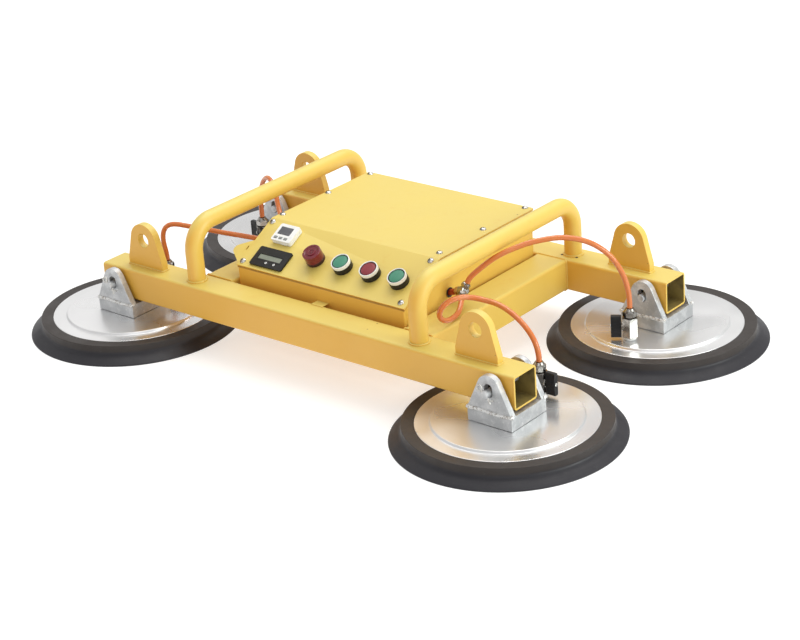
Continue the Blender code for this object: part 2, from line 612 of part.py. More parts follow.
def make_tees():
    """Each tee takes its inlet through the box wall and feeds the front and rear hoses of its side."""
    for side, sign in (("left", -1), ("right", 1)):
        centre = Vector((sign * TEE.x, TEE.y, TEE.z))
        hole = Vector((sign * HOSE_HOLE[0], HOSE_HOLE[1], HOSE_HOLE[2]))
        inward = (hole - centre).normalized()
        inlet_end = centre + inward * ((hole - centre).length + 0.016)
        body = rod(bmesh.new(), centre - inward * 0.007, inlet_end, 0.0036, 12)
        tee = solid(f"hose_tee_{side}", body, NICKEL)
        barrel = rod(bmesh.new(), centre - inward * 0.0065, centre + inward * 0.0125, 0.0068, 12)
        combine(tee, "UNION", barrel)
        for port in ("front", "rear"):
            tip = tee_point(side, port, TEE_REACH)
            combine(tee, "UNION", rod(bmesh.new(), centre, tip, 0.0052, 10))
            nut_low, nut_high = tee_point(side, port, 0.0060), tee_point(side, port, 0.0110)
            combine(tee, "UNION", rod(bmesh.new(), nut_low, nut_high, 0.0070, 6))


def make_hoses():
    for corner, (sx, sy) in CORNERS.items():
        side, port = corner.split("_")[1], corner.split("_")[0]
        start = tee_point(side, port, TEE_REACH + GAP)
        lead = tee_point(side, port, TEE_REACH + HOSE_LEAD)
        end = Vector((sx * PAD_X + VALVE_SHIFT[corner], sy * (PAD_Y - VALVE_IN), VALVE_TOP + GAP))
        route = [start, lead, *HOSE_ROUTES[corner], end + Vector((0, 0, HOSE_DROP)), end]
        round_bar(f"hose_{corner}", smooth_points(route, HOSE_STEP), HOSE_R, 2, HOSE_ORANGE)


def main():
    clear_scene()
    make_beams()
    make_lugs()
    make_handles()
    make_pads()
    panel = empty("panel_plane", (0, COVER_FRONT, COVER_FRONT_Z), (PANEL_SLOPE, 0, 0))
    bpy.context.view_layer.update()
    make_housing()
    make_cover(panel)
    make_hour_meter(panel)
    make_vacuum_gauge(panel)
    make_buzzer(panel)
    make_buttons(panel)
    make_works()
    make_tees()
    make_hoses()


main()
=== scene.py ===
"""The looks of the battery vacuum lifter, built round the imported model: metres, +Z up, +X along the
beams, +Y from the operator's side to the back."""

import json
import math
import random

import bmesh
import bpy
from mathutils import Matrix, Vector


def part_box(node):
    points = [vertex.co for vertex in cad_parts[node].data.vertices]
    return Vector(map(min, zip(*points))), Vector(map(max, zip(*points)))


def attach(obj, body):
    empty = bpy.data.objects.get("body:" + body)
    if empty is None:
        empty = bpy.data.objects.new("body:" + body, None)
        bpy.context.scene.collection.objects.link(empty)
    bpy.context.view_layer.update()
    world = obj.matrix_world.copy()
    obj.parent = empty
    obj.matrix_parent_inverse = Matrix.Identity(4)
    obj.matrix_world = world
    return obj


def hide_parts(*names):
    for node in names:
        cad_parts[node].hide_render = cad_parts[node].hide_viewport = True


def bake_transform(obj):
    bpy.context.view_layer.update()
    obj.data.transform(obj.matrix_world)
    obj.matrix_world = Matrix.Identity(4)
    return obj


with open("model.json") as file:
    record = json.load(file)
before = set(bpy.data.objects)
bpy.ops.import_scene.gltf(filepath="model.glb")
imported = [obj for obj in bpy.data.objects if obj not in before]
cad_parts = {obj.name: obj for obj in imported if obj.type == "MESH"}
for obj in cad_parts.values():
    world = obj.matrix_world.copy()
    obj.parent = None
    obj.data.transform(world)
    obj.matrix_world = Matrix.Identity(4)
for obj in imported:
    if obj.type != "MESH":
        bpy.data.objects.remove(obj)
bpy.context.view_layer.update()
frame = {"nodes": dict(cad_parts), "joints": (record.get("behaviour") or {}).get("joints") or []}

CORNERS = {
    "front_left": (-1, -1),
    "front_right": (1, -1),
    "rear_left": (-1, 1),
    "rear_right": (1, 1),
}
SIDES = {"left": -1, "right": 1}
NO_TURN = Matrix.Identity(4)


def joint(name):
    return next(j for j in frame["joints"] if j["name"] == name)


def shift(x, y, z):
    return Matrix.Translation((x, y, z))


def spin(angle, axis):
    return Matrix.Rotation(angle, 4, axis)


# Places read from the CAD model
beam_low, beam_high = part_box("rear_beam")
BEAM_Y = (beam_low.y + beam_high.y) / 2
BEAM_HALF = beam_high.x
BEAM_TOP = beam_high.z
TUBE = beam_high.z - beam_low.z
side_low, side_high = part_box("right_side_member")
SIDE_X = (side_low.x + side_high.x) / 2
SIDE_WIDTH = side_high.x - side_low.x
SIDE_HALF = side_high.y
handle_low, handle_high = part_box("right_handle")
HANDLE_X = (handle_low.x + handle_high.x) / 2
HANDLE_R = (handle_high.x - handle_low.x) / 2
HANDLE_Z = handle_high.z - HANDLE_R
lug_low, lug_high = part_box("lifting_lug_rear_right")
LUG_WIDTH = lug_high.x - lug_low.x
LUG_THICK = lug_high.y - lug_low.y
seal_low, seal_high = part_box("pad_seal_rear_right")
PAD_X = (seal_low.x + seal_high.x) / 2
PAD_Y = (seal_low.y + seal_high.y) / 2
LIP_R = (seal_high.x - seal_low.x) / 2
RING_TOP = seal_high.z
plate_low, plate_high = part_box("pad_plate_rear_right")
PLATE_R = (plate_high.x - plate_low.x) / 2
PLATE_LOW = plate_low.z
STEP_TOP = plate_high.z
bracket_low, bracket_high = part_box("pad_bracket_rear_right")
BRACKET_X = bracket_high.x - bracket_low.x
BRACKET_Y = bracket_high.y - bracket_low.y
EAR_TOP = bracket_high.z
PIN_Z = joint("tilt_rear_right")["pos_m"][2]
pin_low, pin_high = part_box("pivot_pin_rear_right")
VALVE_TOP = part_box("valve_body_rear_right")[1].z
housing_low, housing_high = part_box("box_housing")
cover_low, cover_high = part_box("box_cover")
COVER_X = cover_high.x
PANEL_NORMAL = -Vector(joint("press_red_button")["axis"])
PANEL_SLOPE = math.acos(PANEL_NORMAL.z)

# Sizes that the CAD model's boxes don't give
TUBE_WALL = 0.003
TUBE_ROUND = 0.0045
PIN_R = 0.006
PIN_HOLE_R = 0.0064
SLOT_R = 0.0066
FLOAT = 0.0064
LUG_HOLE_R = 0.011
LUG_HOLE_Z = 0.1484
LUG_TOP_R = 0.0265
LUG_STRAIGHT = 0.012
HANDLE_BEND = 0.040
STEP_R = 0.1056
RING_R = 0.1465
BLOCK_TOP = 0.0503
COTTER_AT = 0.0462
COTTER_TURN = 136
LEVER_LOW = 0.0128
LEVER_HIGH = 0.0278
EAR_THICK = 0.010
EAR_TOP_R = 0.0185
SHEET = 0.0025
COVER_FOLD = -0.0656
COVER_REAR = cover_high.y
COVER_TOP = cover_high.z
PANEL_FOOT = Vector((0, cover_low.y, COVER_TOP - (COVER_FOLD - cover_low.y) * math.tan(PANEL_SLOPE)))
PANEL = shift(*PANEL_FOOT) @ spin(PANEL_SLOPE, "X")
BUTTONS = {"green_button_left": 0.0210, "red_button": 0.0744, "green_button_right": 0.1273}
BUTTON_UP = 0.0414
BUZZER_AT = (-0.0336, 0.0422)
METER_AT = (-0.1094, 0.0239)
METER_SIZE = (0.0640, 0.0354)
GAUGE_AT = (-0.1108, 0.0699)
GAUGE_SIZE = (0.0380, 0.0325)
KEY_MIDDLE = -0.0025
KEY_SPACING = 0.0097
KEY_UP = -0.0106
BOX_X = 0.1615
HOSE_HOLE = Vector((0.1615, -0.0475, 0.1155))
TEE = Vector((0.190, -0.051, 0.126))
TEE_REACH = 0.013
TEE_PORTS = {
    "right": {"rear": (0.38, 0.33, 0.86), "front": (0.46, -0.80, -0.38)},
    "left": {"rear": (-0.35, 0.93, -0.10), "front": (-0.95, -0.28, 0.10)},
}
HOSE_R = 0.004
HOSE_LEAD = 0.010
HOSE_ROUTES = {
    "rear_right": [(0.2090, -0.0331, 0.1573), (0.2205, -0.0230, 0.1684), (0.2319, -0.0137, 0.1768),
                   (0.2440, -0.0025, 0.1835), (0.2650, 0.0190, 0.1912), (0.2950, 0.0490, 0.1937),
                   (0.3240, 0.0735, 0.1840), (0.3465, 0.0920, 0.1620), (0.3600, 0.1025, 0.1340),
                   (0.3668, 0.1068, 0.1080)],
    "front_right": [(0.2120, -0.0915, 0.1115), (0.2165, -0.1150, 0.1110), (0.2182, -0.1325, 0.1165),
                    (0.2195, -0.1430, 0.1280), (0.2235, -0.1425, 0.1400), (0.2300, -0.1320, 0.1485),
                    (0.2385, -0.1150, 0.1500), (0.2495, -0.0990, 0.1455), (0.2640, -0.0910, 0.1415),
                    (0.2820, -0.0900, 0.1400), (0.3020, -0.0930, 0.1365), (0.3240, -0.0975, 0.1290),
                    (0.3425, -0.1018, 0.1185), (0.3560, -0.1053, 0.1055)],
    "rear_left": [(-0.2060, -0.0100, 0.1200), (-0.2220, 0.0150, 0.1120), (-0.2430, 0.0380, 0.1085),
                  (-0.2630, 0.0560, 0.1120), (-0.2780, 0.0670, 0.1250), (-0.2900, 0.0760, 0.1420),
                  (-0.3040, 0.0850, 0.1550), (-0.3200, 0.0930, 0.1590), (-0.3360, 0.0995, 0.1510),
                  (-0.3485, 0.1040, 0.1340), (-0.3555, 0.1065, 0.1120)],
    "front_left": [(-0.2378, -0.0645, 0.1300), (-0.2652, -0.0695, 0.1303), (-0.2957, -0.0760, 0.1318),
                   (-0.3310, -0.0870, 0.1352), (-0.3480, -0.0930, 0.1368), (-0.3585, -0.0975, 0.1355),
                   (-0.3655, -0.1012, 0.1305), (-0.3682, -0.1045, 0.1220), (-0.3678, -0.1065, 0.1110),
                   (-0.3654, -0.1073, 0.1005)],
}


# Camera, floor and light

def make_camera():
    right = Vector((0.77053, 0.63385, -0.06712))
    up = Vector((-0.21013, 0.35203, 0.91209))
    back = right.cross(up)
    data = bpy.data.cameras.new("camera")
    data.lens = 95.09
    data.sensor_width = 36
    data.clip_start, data.clip_end = 0.05, 60
    camera = bpy.data.objects.new("camera", data)
    turn = Matrix((right, up, back)).transposed().to_4x4()
    camera.matrix_world = shift(1.9527, -2.2101, 1.3188) @ turn
    bpy.context.scene.collection.objects.link(camera)
    bpy.context.scene.camera = camera


def area_light(name, place, target, size, watts, colour=(1, 1, 1)):
    data = bpy.data.lights.new(name, "AREA")
    data.shape = "RECTANGLE"
    data.size, data.size_y = size
    data.energy = watts
    data.color = colour
    lamp = bpy.data.objects.new(name, data)
    lamp.location = place
    lamp.rotation_euler = (Vector(place) - Vector(target)).to_track_quat("Z", "Y").to_euler()
    bpy.context.scene.collection.objects.link(lamp)


def make_studio():
    world = bpy.data.worlds.new("studio")
    world.use_nodes = True
    backdrop = world.node_tree.nodes["Background"]
    backdrop.inputs["Color"].default_value = (1.0, 0.995, 0.985, 1)
    backdrop.inputs["Strength"].default_value = 0.67
    bpy.context.scene.world = world
    bpy.context.scene.view_settings.view_transform = "Standard"
    area_light("overhead", (-0.2, 0.9, 2.6), (0, 0, 0), (2.6, 2.0), 50, (1.0, 0.985, 0.96))
    area_light("right_side", (3.0, 0.5, 1.2), (0, 0, 0.1), (1.6, 1.4), 50, (0.93, 1.0, 0.97))
    area_light("left_side", (-2.6, -1.4, 1.3), (0, 0, 0.1), (1.4, 1.4), 3)
    area_light("front_right", (2.0, -2.6, 2.0), (0.2, 0, 0.1), (1.2, 1.2), 7)
    area_light("back_left", (-2.75, 1.2, 1.1), (-0.36, -0.18, 0.03), (1.4, 1.2), 1.5)
    bm = bmesh.new()
    bmesh.ops.create_grid(bm, x_segments=1, y_segments=1, size=14)
    floor = solid("floor", bm, floor_finish())


# Shapes

def solid(name, bm, finish, matrix=NO_TURN, angle=35):
    """A bmesh as a named object with smooth round faces and sharp edges."""
    bmesh.ops.remove_doubles(bm, verts=bm.verts, dist=1e-6)
    bmesh.ops.recalc_face_normals(bm, faces=bm.faces)
    mesh = bpy.data.meshes.new(name)
    bm.to_mesh(mesh)
    bm.free()
    mesh.shade_smooth()
    mesh.set_sharp_from_angle(angle=math.radians(angle))
    mesh.materials.append(finish)
    obj = bpy.data.objects.new(name, mesh)
    bpy.context.scene.collection.objects.link(obj)
    obj.matrix_world = matrix
    return obj


def apply_modifiers(obj, angle=35):
    graph = bpy.context.evaluated_depsgraph_get()
    mesh = bpy.data.meshes.new_from_object(obj.evaluated_get(graph))
    obj.modifiers.clear()
    obj.data = mesh
    mesh.shade_smooth()
    mesh.set_sharp_from_angle(angle=math.radians(angle))
    return obj


def combine(obj, operation, bm):
    """Cuts, joins or intersects obj with a bmesh built in the same local frame."""
    helper = solid(f"{obj.name}_helper", bm, obj.data.materials[0], obj.matrix_world)
    modifier = obj.modifiers.new("combine", "BOOLEAN")
    modifier.operation = operation
    modifier.object = helper
    modifier.solver = "EXACT"
    apply_modifiers(obj)
    bpy.data.objects.remove(helper)
    return obj


def cut(obj, bm):
    return combine(obj, "DIFFERENCE", bm)


def soften(obj, width, segments=2, angle=35):
    """Rounds the sharp edges."""
    modifier = obj.modifiers.new("soften", "BEVEL")
    modifier.width = width
    modifier.segments = segments
    modifier.limit_method = "ANGLE"
    modifier.angle_limit = math.radians(angle)
    modifier.use_clamp_overlap = True
    modifier.miter_outer = "MITER_ARC"
    modifier.harden_normals = False
    return apply_modifiers(obj, 50)


def circle(radius, count, centre=(0, 0), start=0.0):
    turn = 2 * math.pi / count
    return [(centre[0] + radius * math.cos(start + i * turn), centre[1] + radius * math.sin(start + i * turn))
            for i in range(count)]


def arc(centre, radius, start, end, count):
    """Points on an arc, angles in degrees."""
    steps = [math.radians(start + (end - start) * i / count) for i in range(count + 1)]
    return [(centre[0] + radius * math.cos(a), centre[1] + radius * math.sin(a)) for a in steps]


def bezier(a, b, c, count):
    """Points on the curve that leaves a towards b and arrives at c."""
    a, b, c = Vector(a), Vector(b), Vector(c)
    steps = [i / count for i in range(count + 1)]
    return [tuple((1 - t)**2 * a + 2 * t * (1 - t) * b + t**2 * c) for t in steps]


def rectangle(width, height, centre=(0, 0)):
    x, y = centre
    return [(x - width / 2, y - height / 2), (x + width / 2, y - height / 2),
            (x + width / 2, y + height / 2), (x - width / 2, y + height / 2)]


def rounded_rectangle(width, height, radius, count=6, centre=(0, 0)):
    x, y = width / 2 - radius, height / 2 - radius
    corners = [(x, y, 0), (-x, y, 90), (-x, -y, 180), (x, -y, 270)]
    return [p for cx, cy, a in corners
            for p in arc((centre[0] + cx, centre[1] + cy), radius, a, a + 90, count)]


def outline_point(axis, point, depth):
    a, b = point
    return {"X": (depth, a, b), "Y": (a, depth, b), "Z": (a, b, depth)}[axis]


def prism(outline, low, high, axis="Z", bm=None):
    """X outlines are (y, z), Y are (x, z), Z are (x, y)."""
    bm = bm or bmesh.new()
    ends = [[bm.verts.new(outline_point(axis, p, depth)) for p in outline] for depth in (low, high)]
    count = len(outline)
    for i in range(count):
        j = (i + 1) % count
        bm.faces.new((ends[0][i], ends[0][j], ends[1][j], ends[1][i]))
    bm.faces.new(ends[0][::-1])
    bm.faces.new(ends[1])
    return bm


def lathe(profile, count, close=True, matrix=NO_TURN, bm=None):
    """Turns a profile of (radius, z) round Z. A radius of 0 makes a single point."""
    bm = bm or bmesh.new()
    rings = []
    for radius, z in profile:
        points = circle(radius, count) if radius > 0 else [(0, 0)]
        rings.append([bm.verts.new(matrix @ Vector((x, y, z))) for x, y in points])
    pairs = list(zip(rings, rings[1:] + rings[:1])) if close else list(zip(rings, rings[1:]))
    for ring, after in pairs:
        if len(ring) == 1 and len(after) == 1:
            continue
        for i in range(count):
            j = (i + 1) % count
            corners = [ring[i % len(ring)], ring[j % len(ring)], after[j % len(after)], after[i % len(after)]]
            bm.faces.new(list(dict.fromkeys(corners)))
    return bm


def tube(points, radii, sides, bm=None):
    """A bar of round section through points, with a radius at each, and flat ends."""
    bm = bm or bmesh.new()
    points = [Vector(p) for p in points]
    tangents = [(b - a).normalized() for a, b in zip(points, points[1:])]
    tangents = [tangents[0]] + [(a + b).normalized() for a, b in zip(tangents, tangents[1:])] + [tangents[-1]]
    across = tangents[0].orthogonal().normalized()
    rings = []
    for point, tangent, radius in zip(points, tangents, radii):
        across = (across - across.dot(tangent) * tangent).normalized()
        other = tangent.cross(across)
        rings.append([bm.verts.new(point + x * across + y * other) for x, y in circle(radius, sides)])
    for ring, after in zip(rings, rings[1:]):
        for i in range(sides):
            j = (i + 1) % sides
            bm.faces.new((ring[i], ring[j], after[j], after[i]))
    bm.faces.new(rings[0][::-1])
    bm.faces.new(rings[-1])
    return bm


def bar(start, end, radius, sides, bm=None):
    return tube([start, end], [radius, radius], sides, bm=bm)


def block(size, centre, bm=None):
    bm = bm or bmesh.new()
    matrix = Matrix.Translation(centre) @ Matrix.Diagonal((*size, 1))
    bmesh.ops.create_cube(bm, size=1, matrix=matrix)
    return bm


def smooth_points(route, step):
    """Points about a step apart on a smooth curve through the route's own points."""
    knots = [Vector(p) for p in route]
    knots = [2 * knots[0] - knots[1], *knots, 2 * knots[-1] - knots[-2]]
    found = []
    for before, a, b, after in zip(knots, knots[1:], knots[2:], knots[3:]):
        count = max(1, round((b - a).length / step))
        for i in range(count):
            t = i / count
            found.append(0.5 * (2 * a + (b - before) * t + (2 * before - 5 * a + 4 * b - after) * t**2
                                + (3 * a - before - 3 * b + after) * t**3))
    return [*found, knots[-2]]


def relaxed(points, rounds, held):
    """Evens out a path's bends, holding so many points at each end."""
    for _ in range(rounds):
        inner = [(a + 2 * b + c) / 4 for a, b, c in zip(points, points[1:], points[2:])]
        moved = [points[0], *inner, points[-1]]
        points = points[:held] + moved[held:-held] + points[-held:]
    return points


def path_length(points):
    return sum((b - a).length for a, b in zip(points, points[1:]))


def weld_bead(name, points, radius, finish, matrix=NO_TURN, closed=False):
    """A rippled bead of weld along a line, partly sunk in the metal on both sides of it."""
    chance = random.Random(name)
    points = [Vector(p) for p in points]
    if closed:
        points.append(points[0])
    step = 0.0007
    fine = []
    for a, b in zip(points, points[1:]):
        count = max(1, round((b - a).length / step))
        fine += [a.lerp(b, i / count) for i in range(count)]
    fine.append(points[-1])
    phase, radii = 0.0, []
    for _ in fine:
        phase += 1.25 + 0.35 * chance.random()
        radii.append(radius * (0.88 + 0.14 * abs(math.sin(phase / 2)) + 0.10 * chance.random()))
    if not closed:
        for i in range(3):
            radii[i] *= (0.45, 0.75, 0.92)[i]
            radii[-1 - i] *= (0.45, 0.75, 0.92)[i]
    return solid(name, tube(fine, radii, 10), finish, matrix, 80)


def on_body(obj, body, replaced=None):
    weighted = obj.modifiers.new("normals", "WEIGHTED_NORMAL")
    weighted.keep_sharp = True
    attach(obj, body)
    if replaced:
        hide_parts(replaced)
    return obj


# Materials

class Finish:
    """A procedural material: a Principled shader with noise on its colour, roughness and bump."""

    def __init__(self, name, colour, roughness, metallic=0.0, **sockets):
        self.material = bpy.data.materials.new(name)
        self.material.use_nodes = True
        self.tree = self.material.node_tree
        self.shader = self.tree.nodes["Principled BSDF"]
        self.colour = colour
        self.set("Base Color", (*colour, 1))
        self.set("Roughness", roughness)
        self.set("Metallic", metallic)
        for key, value in sockets.items():
            self.set(key.replace("_", " ").title().replace("Ior", "IOR"), value)
        self.height = None
        self.place = self.node("ShaderNodeTexCoord").outputs["Object"]

    def set(self, socket, value):
        self.shader.inputs[socket].default_value = value

    def node(self, kind, **values):
        made = self.tree.nodes.new(kind)
        for key, value in values.items():
            setattr(made, key, value)
        return made

    def link(self, source, target):
        self.tree.links.new(source, target)

    def noise(self, scale, detail=3.0, roughness=0.55, place=None):
        made = self.node("ShaderNodeTexNoise")
        made.inputs["Scale"].default_value = scale
        made.inputs["Detail"].default_value = detail
        made.inputs["Roughness"].default_value = roughness
        self.link(place or self.place, made.inputs["Vector"])
        return made.outputs["Fac"]

    def between(self, value, low, high, to_low=0.0, to_high=1.0):
        """value's stretch from low to high, spread from to_low to to_high and held beyond."""
        made = self.node("ShaderNodeMapRange")
        made.interpolation_type = "SMOOTHSTEP"
        for socket, number in zip(("From Min", "From Max", "To Min", "To Max"), (low, high, to_low, to_high)):
            made.inputs[socket].default_value = number
        self.link(value, made.inputs["Value"])
        return made.outputs["Result"]

    def math(self, operation, a, b=None):
        made = self.node("ShaderNodeMath", operation=operation)
        for i, value in enumerate((a, b)):
            if value is None:
                continue
            if isinstance(value, (int, float)):
                made.inputs[i].default_value = value
            else:
                self.link(value, made.inputs[i])
        return made.outputs[0]

    def tint(self, mask, colour):
        """Mixes another colour in where the mask is high."""
        made = self.node("ShaderNodeMix", data_type="RGBA")
        self.link(mask, made.inputs["Factor"])
        base = self.shader.inputs["Base Color"]
        if base.is_linked:
            self.link(base.links[0].from_socket, made.inputs["A"])
        else:
            made.inputs["A"].default_value = base.default_value
        made.inputs["B"].default_value = (*colour, 1)
        self.link(made.outputs["Result"], base)
        return self

    def vary(self, socket, mask, low, high):
        """Sets a socket from low to high over the surface."""
        self.link(self.between(mask, 0.3, 0.7, low, high), self.shader.inputs[socket])
        return self

    def bump(self, height, distance):
        made = self.node("ShaderNodeBump")
        made.inputs["Distance"].default_value = distance
        self.link(height, made.inputs["Height"])
        if self.height:
            self.link(self.height, made.inputs["Normal"])
        self.height = made.outputs["Normal"]
        self.link(self.height, self.shader.inputs["Normal"])
        return self

    def patches(self, colour, scale, low, high, share=1, *shape):
        """Tints the surface where a noise runs high."""
        return self.tint(self.between(self.noise(scale, *shape), low, high, 0, share), colour)

    def rough(self, low, high, scale, *shape):
        return self.vary("Roughness", self.noise(scale, *shape), low, high)

    def grain(self, depth, scale, *shape):
        return self.bump(self.noise(scale, *shape), depth)

    def specks(self, scale, size, share):
        """A mask of sparse small dots: 1 on a dot."""
        made = self.node("ShaderNodeTexVoronoi")
        made.inputs["Scale"].default_value = scale
        self.link(self.place, made.inputs["Vector"])
        near = self.between(made.outputs["Distance"], size * 0.6, size, 1.0, 0.0)
        parts = self.node("ShaderNodeSeparateColor")
        self.link(made.outputs["Color"], parts.inputs[0])
        chosen = self.math("LESS_THAN", parts.outputs[0], share)
        return self.math("MULTIPLY", near, chosen)

    def axis(self, index, source=None):
        """One coordinate of the object's own space, or of another vector."""
        parts = self.node("ShaderNodeSeparateXYZ")
        self.link(source or self.place, parts.inputs[0])
        return parts.outputs[index]

    def facing(self, index, low, high):
        """A mask of the faces that look along one axis of the object."""
        return self.between(self.axis(index, self.node("ShaderNodeNewGeometry").outputs["Normal"]), low, high)

    def polar(self, across, around):
        """Coordinates for marks that run round the piece's own Z axis."""
        parts = self.node("ShaderNodeSeparateXYZ")
        self.link(self.place, parts.inputs[0])
        x, y, z = parts.outputs
        radius = self.math("SQRT", self.math("ADD", self.math("MULTIPLY", x, x), self.math("MULTIPLY", y, y)))
        turn = self.math("ARCTAN2", y, x)
        joined = self.node("ShaderNodeCombineXYZ")
        self.link(self.math("MULTIPLY", radius, across), joined.inputs[0])
        self.link(self.math("MULTIPLY", self.math("COSINE", turn), around), joined.inputs[1])
        self.link(self.math("ADD", self.math("MULTIPLY", self.math("SINE", turn), around),
                            self.math("MULTIPLY", z, across)), joined.inputs[2])
        return joined.outputs[0]


def paint_finish():
    made = Finish("yellow_paint", (0.73, 0.395, 0.052), 0.42, coat_weight=0.12, coat_roughness=0.38)
    made.patches((0.76, 0.425, 0.060), 5, 0.35, 0.75, 1, 4)
    # Faces that look along +X get a paler, yellower tint: painted light from the right lamp.
    made.tint(made.facing(0, 0.30, 0.95), (0.75, 0.50, 0.092))
    # Faces that look up get a paler tint still: painted sheen from overhead.
    made.tint(made.facing(2, 0.35, 0.98), (0.705, 0.545, 0.130))
    made.patches((0.66, 0.355, 0.044), 28, 0.56, 0.80, 0.30, 5, 0.7)
    made.tint(made.math("MULTIPLY", made.specks(32, 0.050, 0.055), 0.8), (0.16, 0.075, 0.02))
    made.rough(0.36, 0.50, 16, 4, 0.6)
    made.grain(0.00005, 420, 2, 0.5)
    made.grain(0.00010, 45, 2, 0.5)
    return made.material


def tube_inside_shade_finish():
    """Dark yellow-brown with darker patches on the faces inside the beams: painted shade for the inside of
    the hollow tube.
    """
    made = Finish("tube_inside", (0.27, 0.195, 0.055), 0.60)
    made.patches((0.11, 0.080, 0.026), 30, 0.40, 0.70, 1, 4, 0.6)
    made.rough(0.50, 0.70, 40, 3)
    made.grain(0.00010, 200, 3)
    return made.material


def rubber_finish():
    """Bluish black on the skirt and browner on the flat top and the wall, with wiped dust."""
    made = Finish("black_rubber", (0.017, 0.016, 0.021), 0.50, specular_ior_level=0.42)
    made.tint(made.between(made.axis(2), 0.0125, 0.0180), (0.028, 0.021, 0.018))
    made.patches((0.042, 0.040, 0.042), 14, 0.45, 0.80, 0.4, 6, 0.65)
    made.patches((0.075, 0.073, 0.072), 160, 0.60, 0.78, 0.25, 4, 0.7)
    made.rough(0.40, 0.56, 22, 5, 0.6)
    rings = made.noise(1, 2, 0.5, made.polar(420, 0.6))
    made.bump(rings, 0.00008)
    made.grain(0.00003, 900, 2)
    return made.material


def disc_finish():
    made = Finish("turned_aluminium", (0.86, 0.86, 0.865), 0.28, 0.88, anisotropic=0.4)
    tangent = made.node("ShaderNodeTangent", direction_type="RADIAL", axis="Z")
    made.link(tangent.outputs[0], made.shader.inputs["Tangent"])
    turned = made.noise(1, 4, 0.65, made.polar(900, 1.2))
    wide = made.noise(1, 3, 0.6, made.polar(70, 2.2))
    made.tint(made.between(wide, 0.45, 0.75, 0, 0.5), (0.82, 0.82, 0.825))
    made.patches((0.72, 0.72, 0.735), 9, 0.48, 0.85, 0.45, 1, 0.4)
    made.rough(0.20, 0.34, 11, 1, 0.4)
    made.bump(turned, 0.000014)
    made.grain(0.00008, 7, 0, 0.5)
    return made.material


def zinc_finish():
    """Sprayed zinc: pale and dark patches, fine grain and small dents."""
    made = Finish("zinc_steel", (0.50, 0.51, 0.52), 0.46, 0.75)
    made.patches((0.68, 0.685, 0.69), 48, 0.40, 0.66, 0.9, 5, 0.7)
    made.patches((0.80, 0.80, 0.79), 150, 0.55, 0.75, 0.7, 4, 0.7)
    made.patches((0.40, 0.395, 0.39), 20, 0.55, 0.80, 0.5, 4, 0.6)
    made.tint(made.math("MULTIPLY", made.specks(120, 0.10, 0.10), 0.7), (0.18, 0.165, 0.15))
    made.rough(0.36, 0.56, 70, 4)
    made.grain(0.00015, 300, 3, 0.6)
    made.grain(0.00030, 60, 3, 0.6)
    return made.material


def weld_finish():
    """The bare weld on the zinc bracket: pale lumps with brown scale between them."""
    made = Finish("bracket_weld", (0.78, 0.78, 0.77), 0.42, 0.55)
    made.patches((0.30, 0.25, 0.20), 260, 0.50, 0.60, 0.85, 4, 0.7)
    made.patches((0.90, 0.90, 0.89), 420, 0.50, 0.66, 0.8, 3, 0.6)
    made.rough(0.30, 0.60, 200, 3)
    made.grain(0.00025, 500, 3)
    return made.material


def nickel_finish(name, colour, left_side_shade=False):
    """Plated metal with painted reflection: a noise on the surface's direction darkens some of its facets, as
    if it stood in a mixed room; with left_side_shade, the faces that look towards -X get painted shade.
    """
    made = Finish(name, colour, 0.16, 1.0)
    made.patches(tuple(0.78 * c for c in colour), 120, 0.50, 0.75, 0.5, 4)
    made.patches((0.20, 0.18, 0.16), 260, 0.60, 0.74, 0.5, 4, 0.7)
    normal = made.node("ShaderNodeNewGeometry").outputs["Normal"]
    # Facets darken by the way they face: painted reflection.
    made.patches((0.12, 0.105, 0.09), 2.4, 0.48, 0.60, 0.8, 2, 0.5, normal)
    # Faces that look towards -X darken: painted shade on the left side.
    if left_side_shade:
        made.tint(made.between(made.axis(0, normal), -0.30, 0.05, 0.9, 0), (0.07, 0.055, 0.035))
    made.rough(0.10, 0.28, 200, 4)
    made.grain(0.00004, 500, 2)
    return made.material


def moulded_finish(name, colour, tint, low, high, grain=900, **sockets):
    """Moulded plastic: a slight drift of colour, uneven gloss and a fine grain."""
    made = Finish(name, colour, low, **sockets)
    made.patches(tint, 60, 0.40, 0.75, 1, 4, 0.6)
    made.rough(low, high, 90, 4)
    made.grain(0.00003, grain, 2)
    return made.material


def hose_finish():
    made = Finish("orange_hose", (0.66, 0.185, 0.043), 0.14, coat_weight=0.3, coat_roughness=0.08,
                  subsurface_weight=0.15, transmission_weight=0.06, ior=1.5)
    made.set("Subsurface Radius", (0.006, 0.002, 0.0006))
    made.set("Subsurface Scale", 0.5)
    made.patches((0.70, 0.23, 0.058), 30, 0.40, 0.75, 1, 3)
    made.rough(0.10, 0.20, 80, 3)
    made.grain(0.00003, 260, 2)
    return made.material


def screen_finish(name, colour, tint):
    made = Finish(name, colour, 0.20, coat_weight=0.8, coat_roughness=0.04)
    made.patches(tint, 70, 0.35, 0.75, 1, 2)
    made.rough(0.18, 0.28, 300, 2)
    made.grain(0.00001, 400, 2)
    return made.material


def metal_finish(name, colour, tint, low, high):
    made = Finish(name, colour, low, 1.0)
    made.patches(tint, 80, 0.40, 0.75, 1, 5, 0.6)
    made.rough(low, high, 120, 4)
    made.grain(0.00005, 400, 3)
    return made.material


def floor_finish():
    made = Finish("studio_floor", (0.56, 0.56, 0.56), 0.60, emission_strength=0.52)
    made.set("Emission Color", (1, 1, 1, 1))
    made.patches((0.60, 0.60, 0.60), 1.3, 0.35, 0.75, 1, 2)
    made.grain(0.00002, 200, 2)
    return made.material


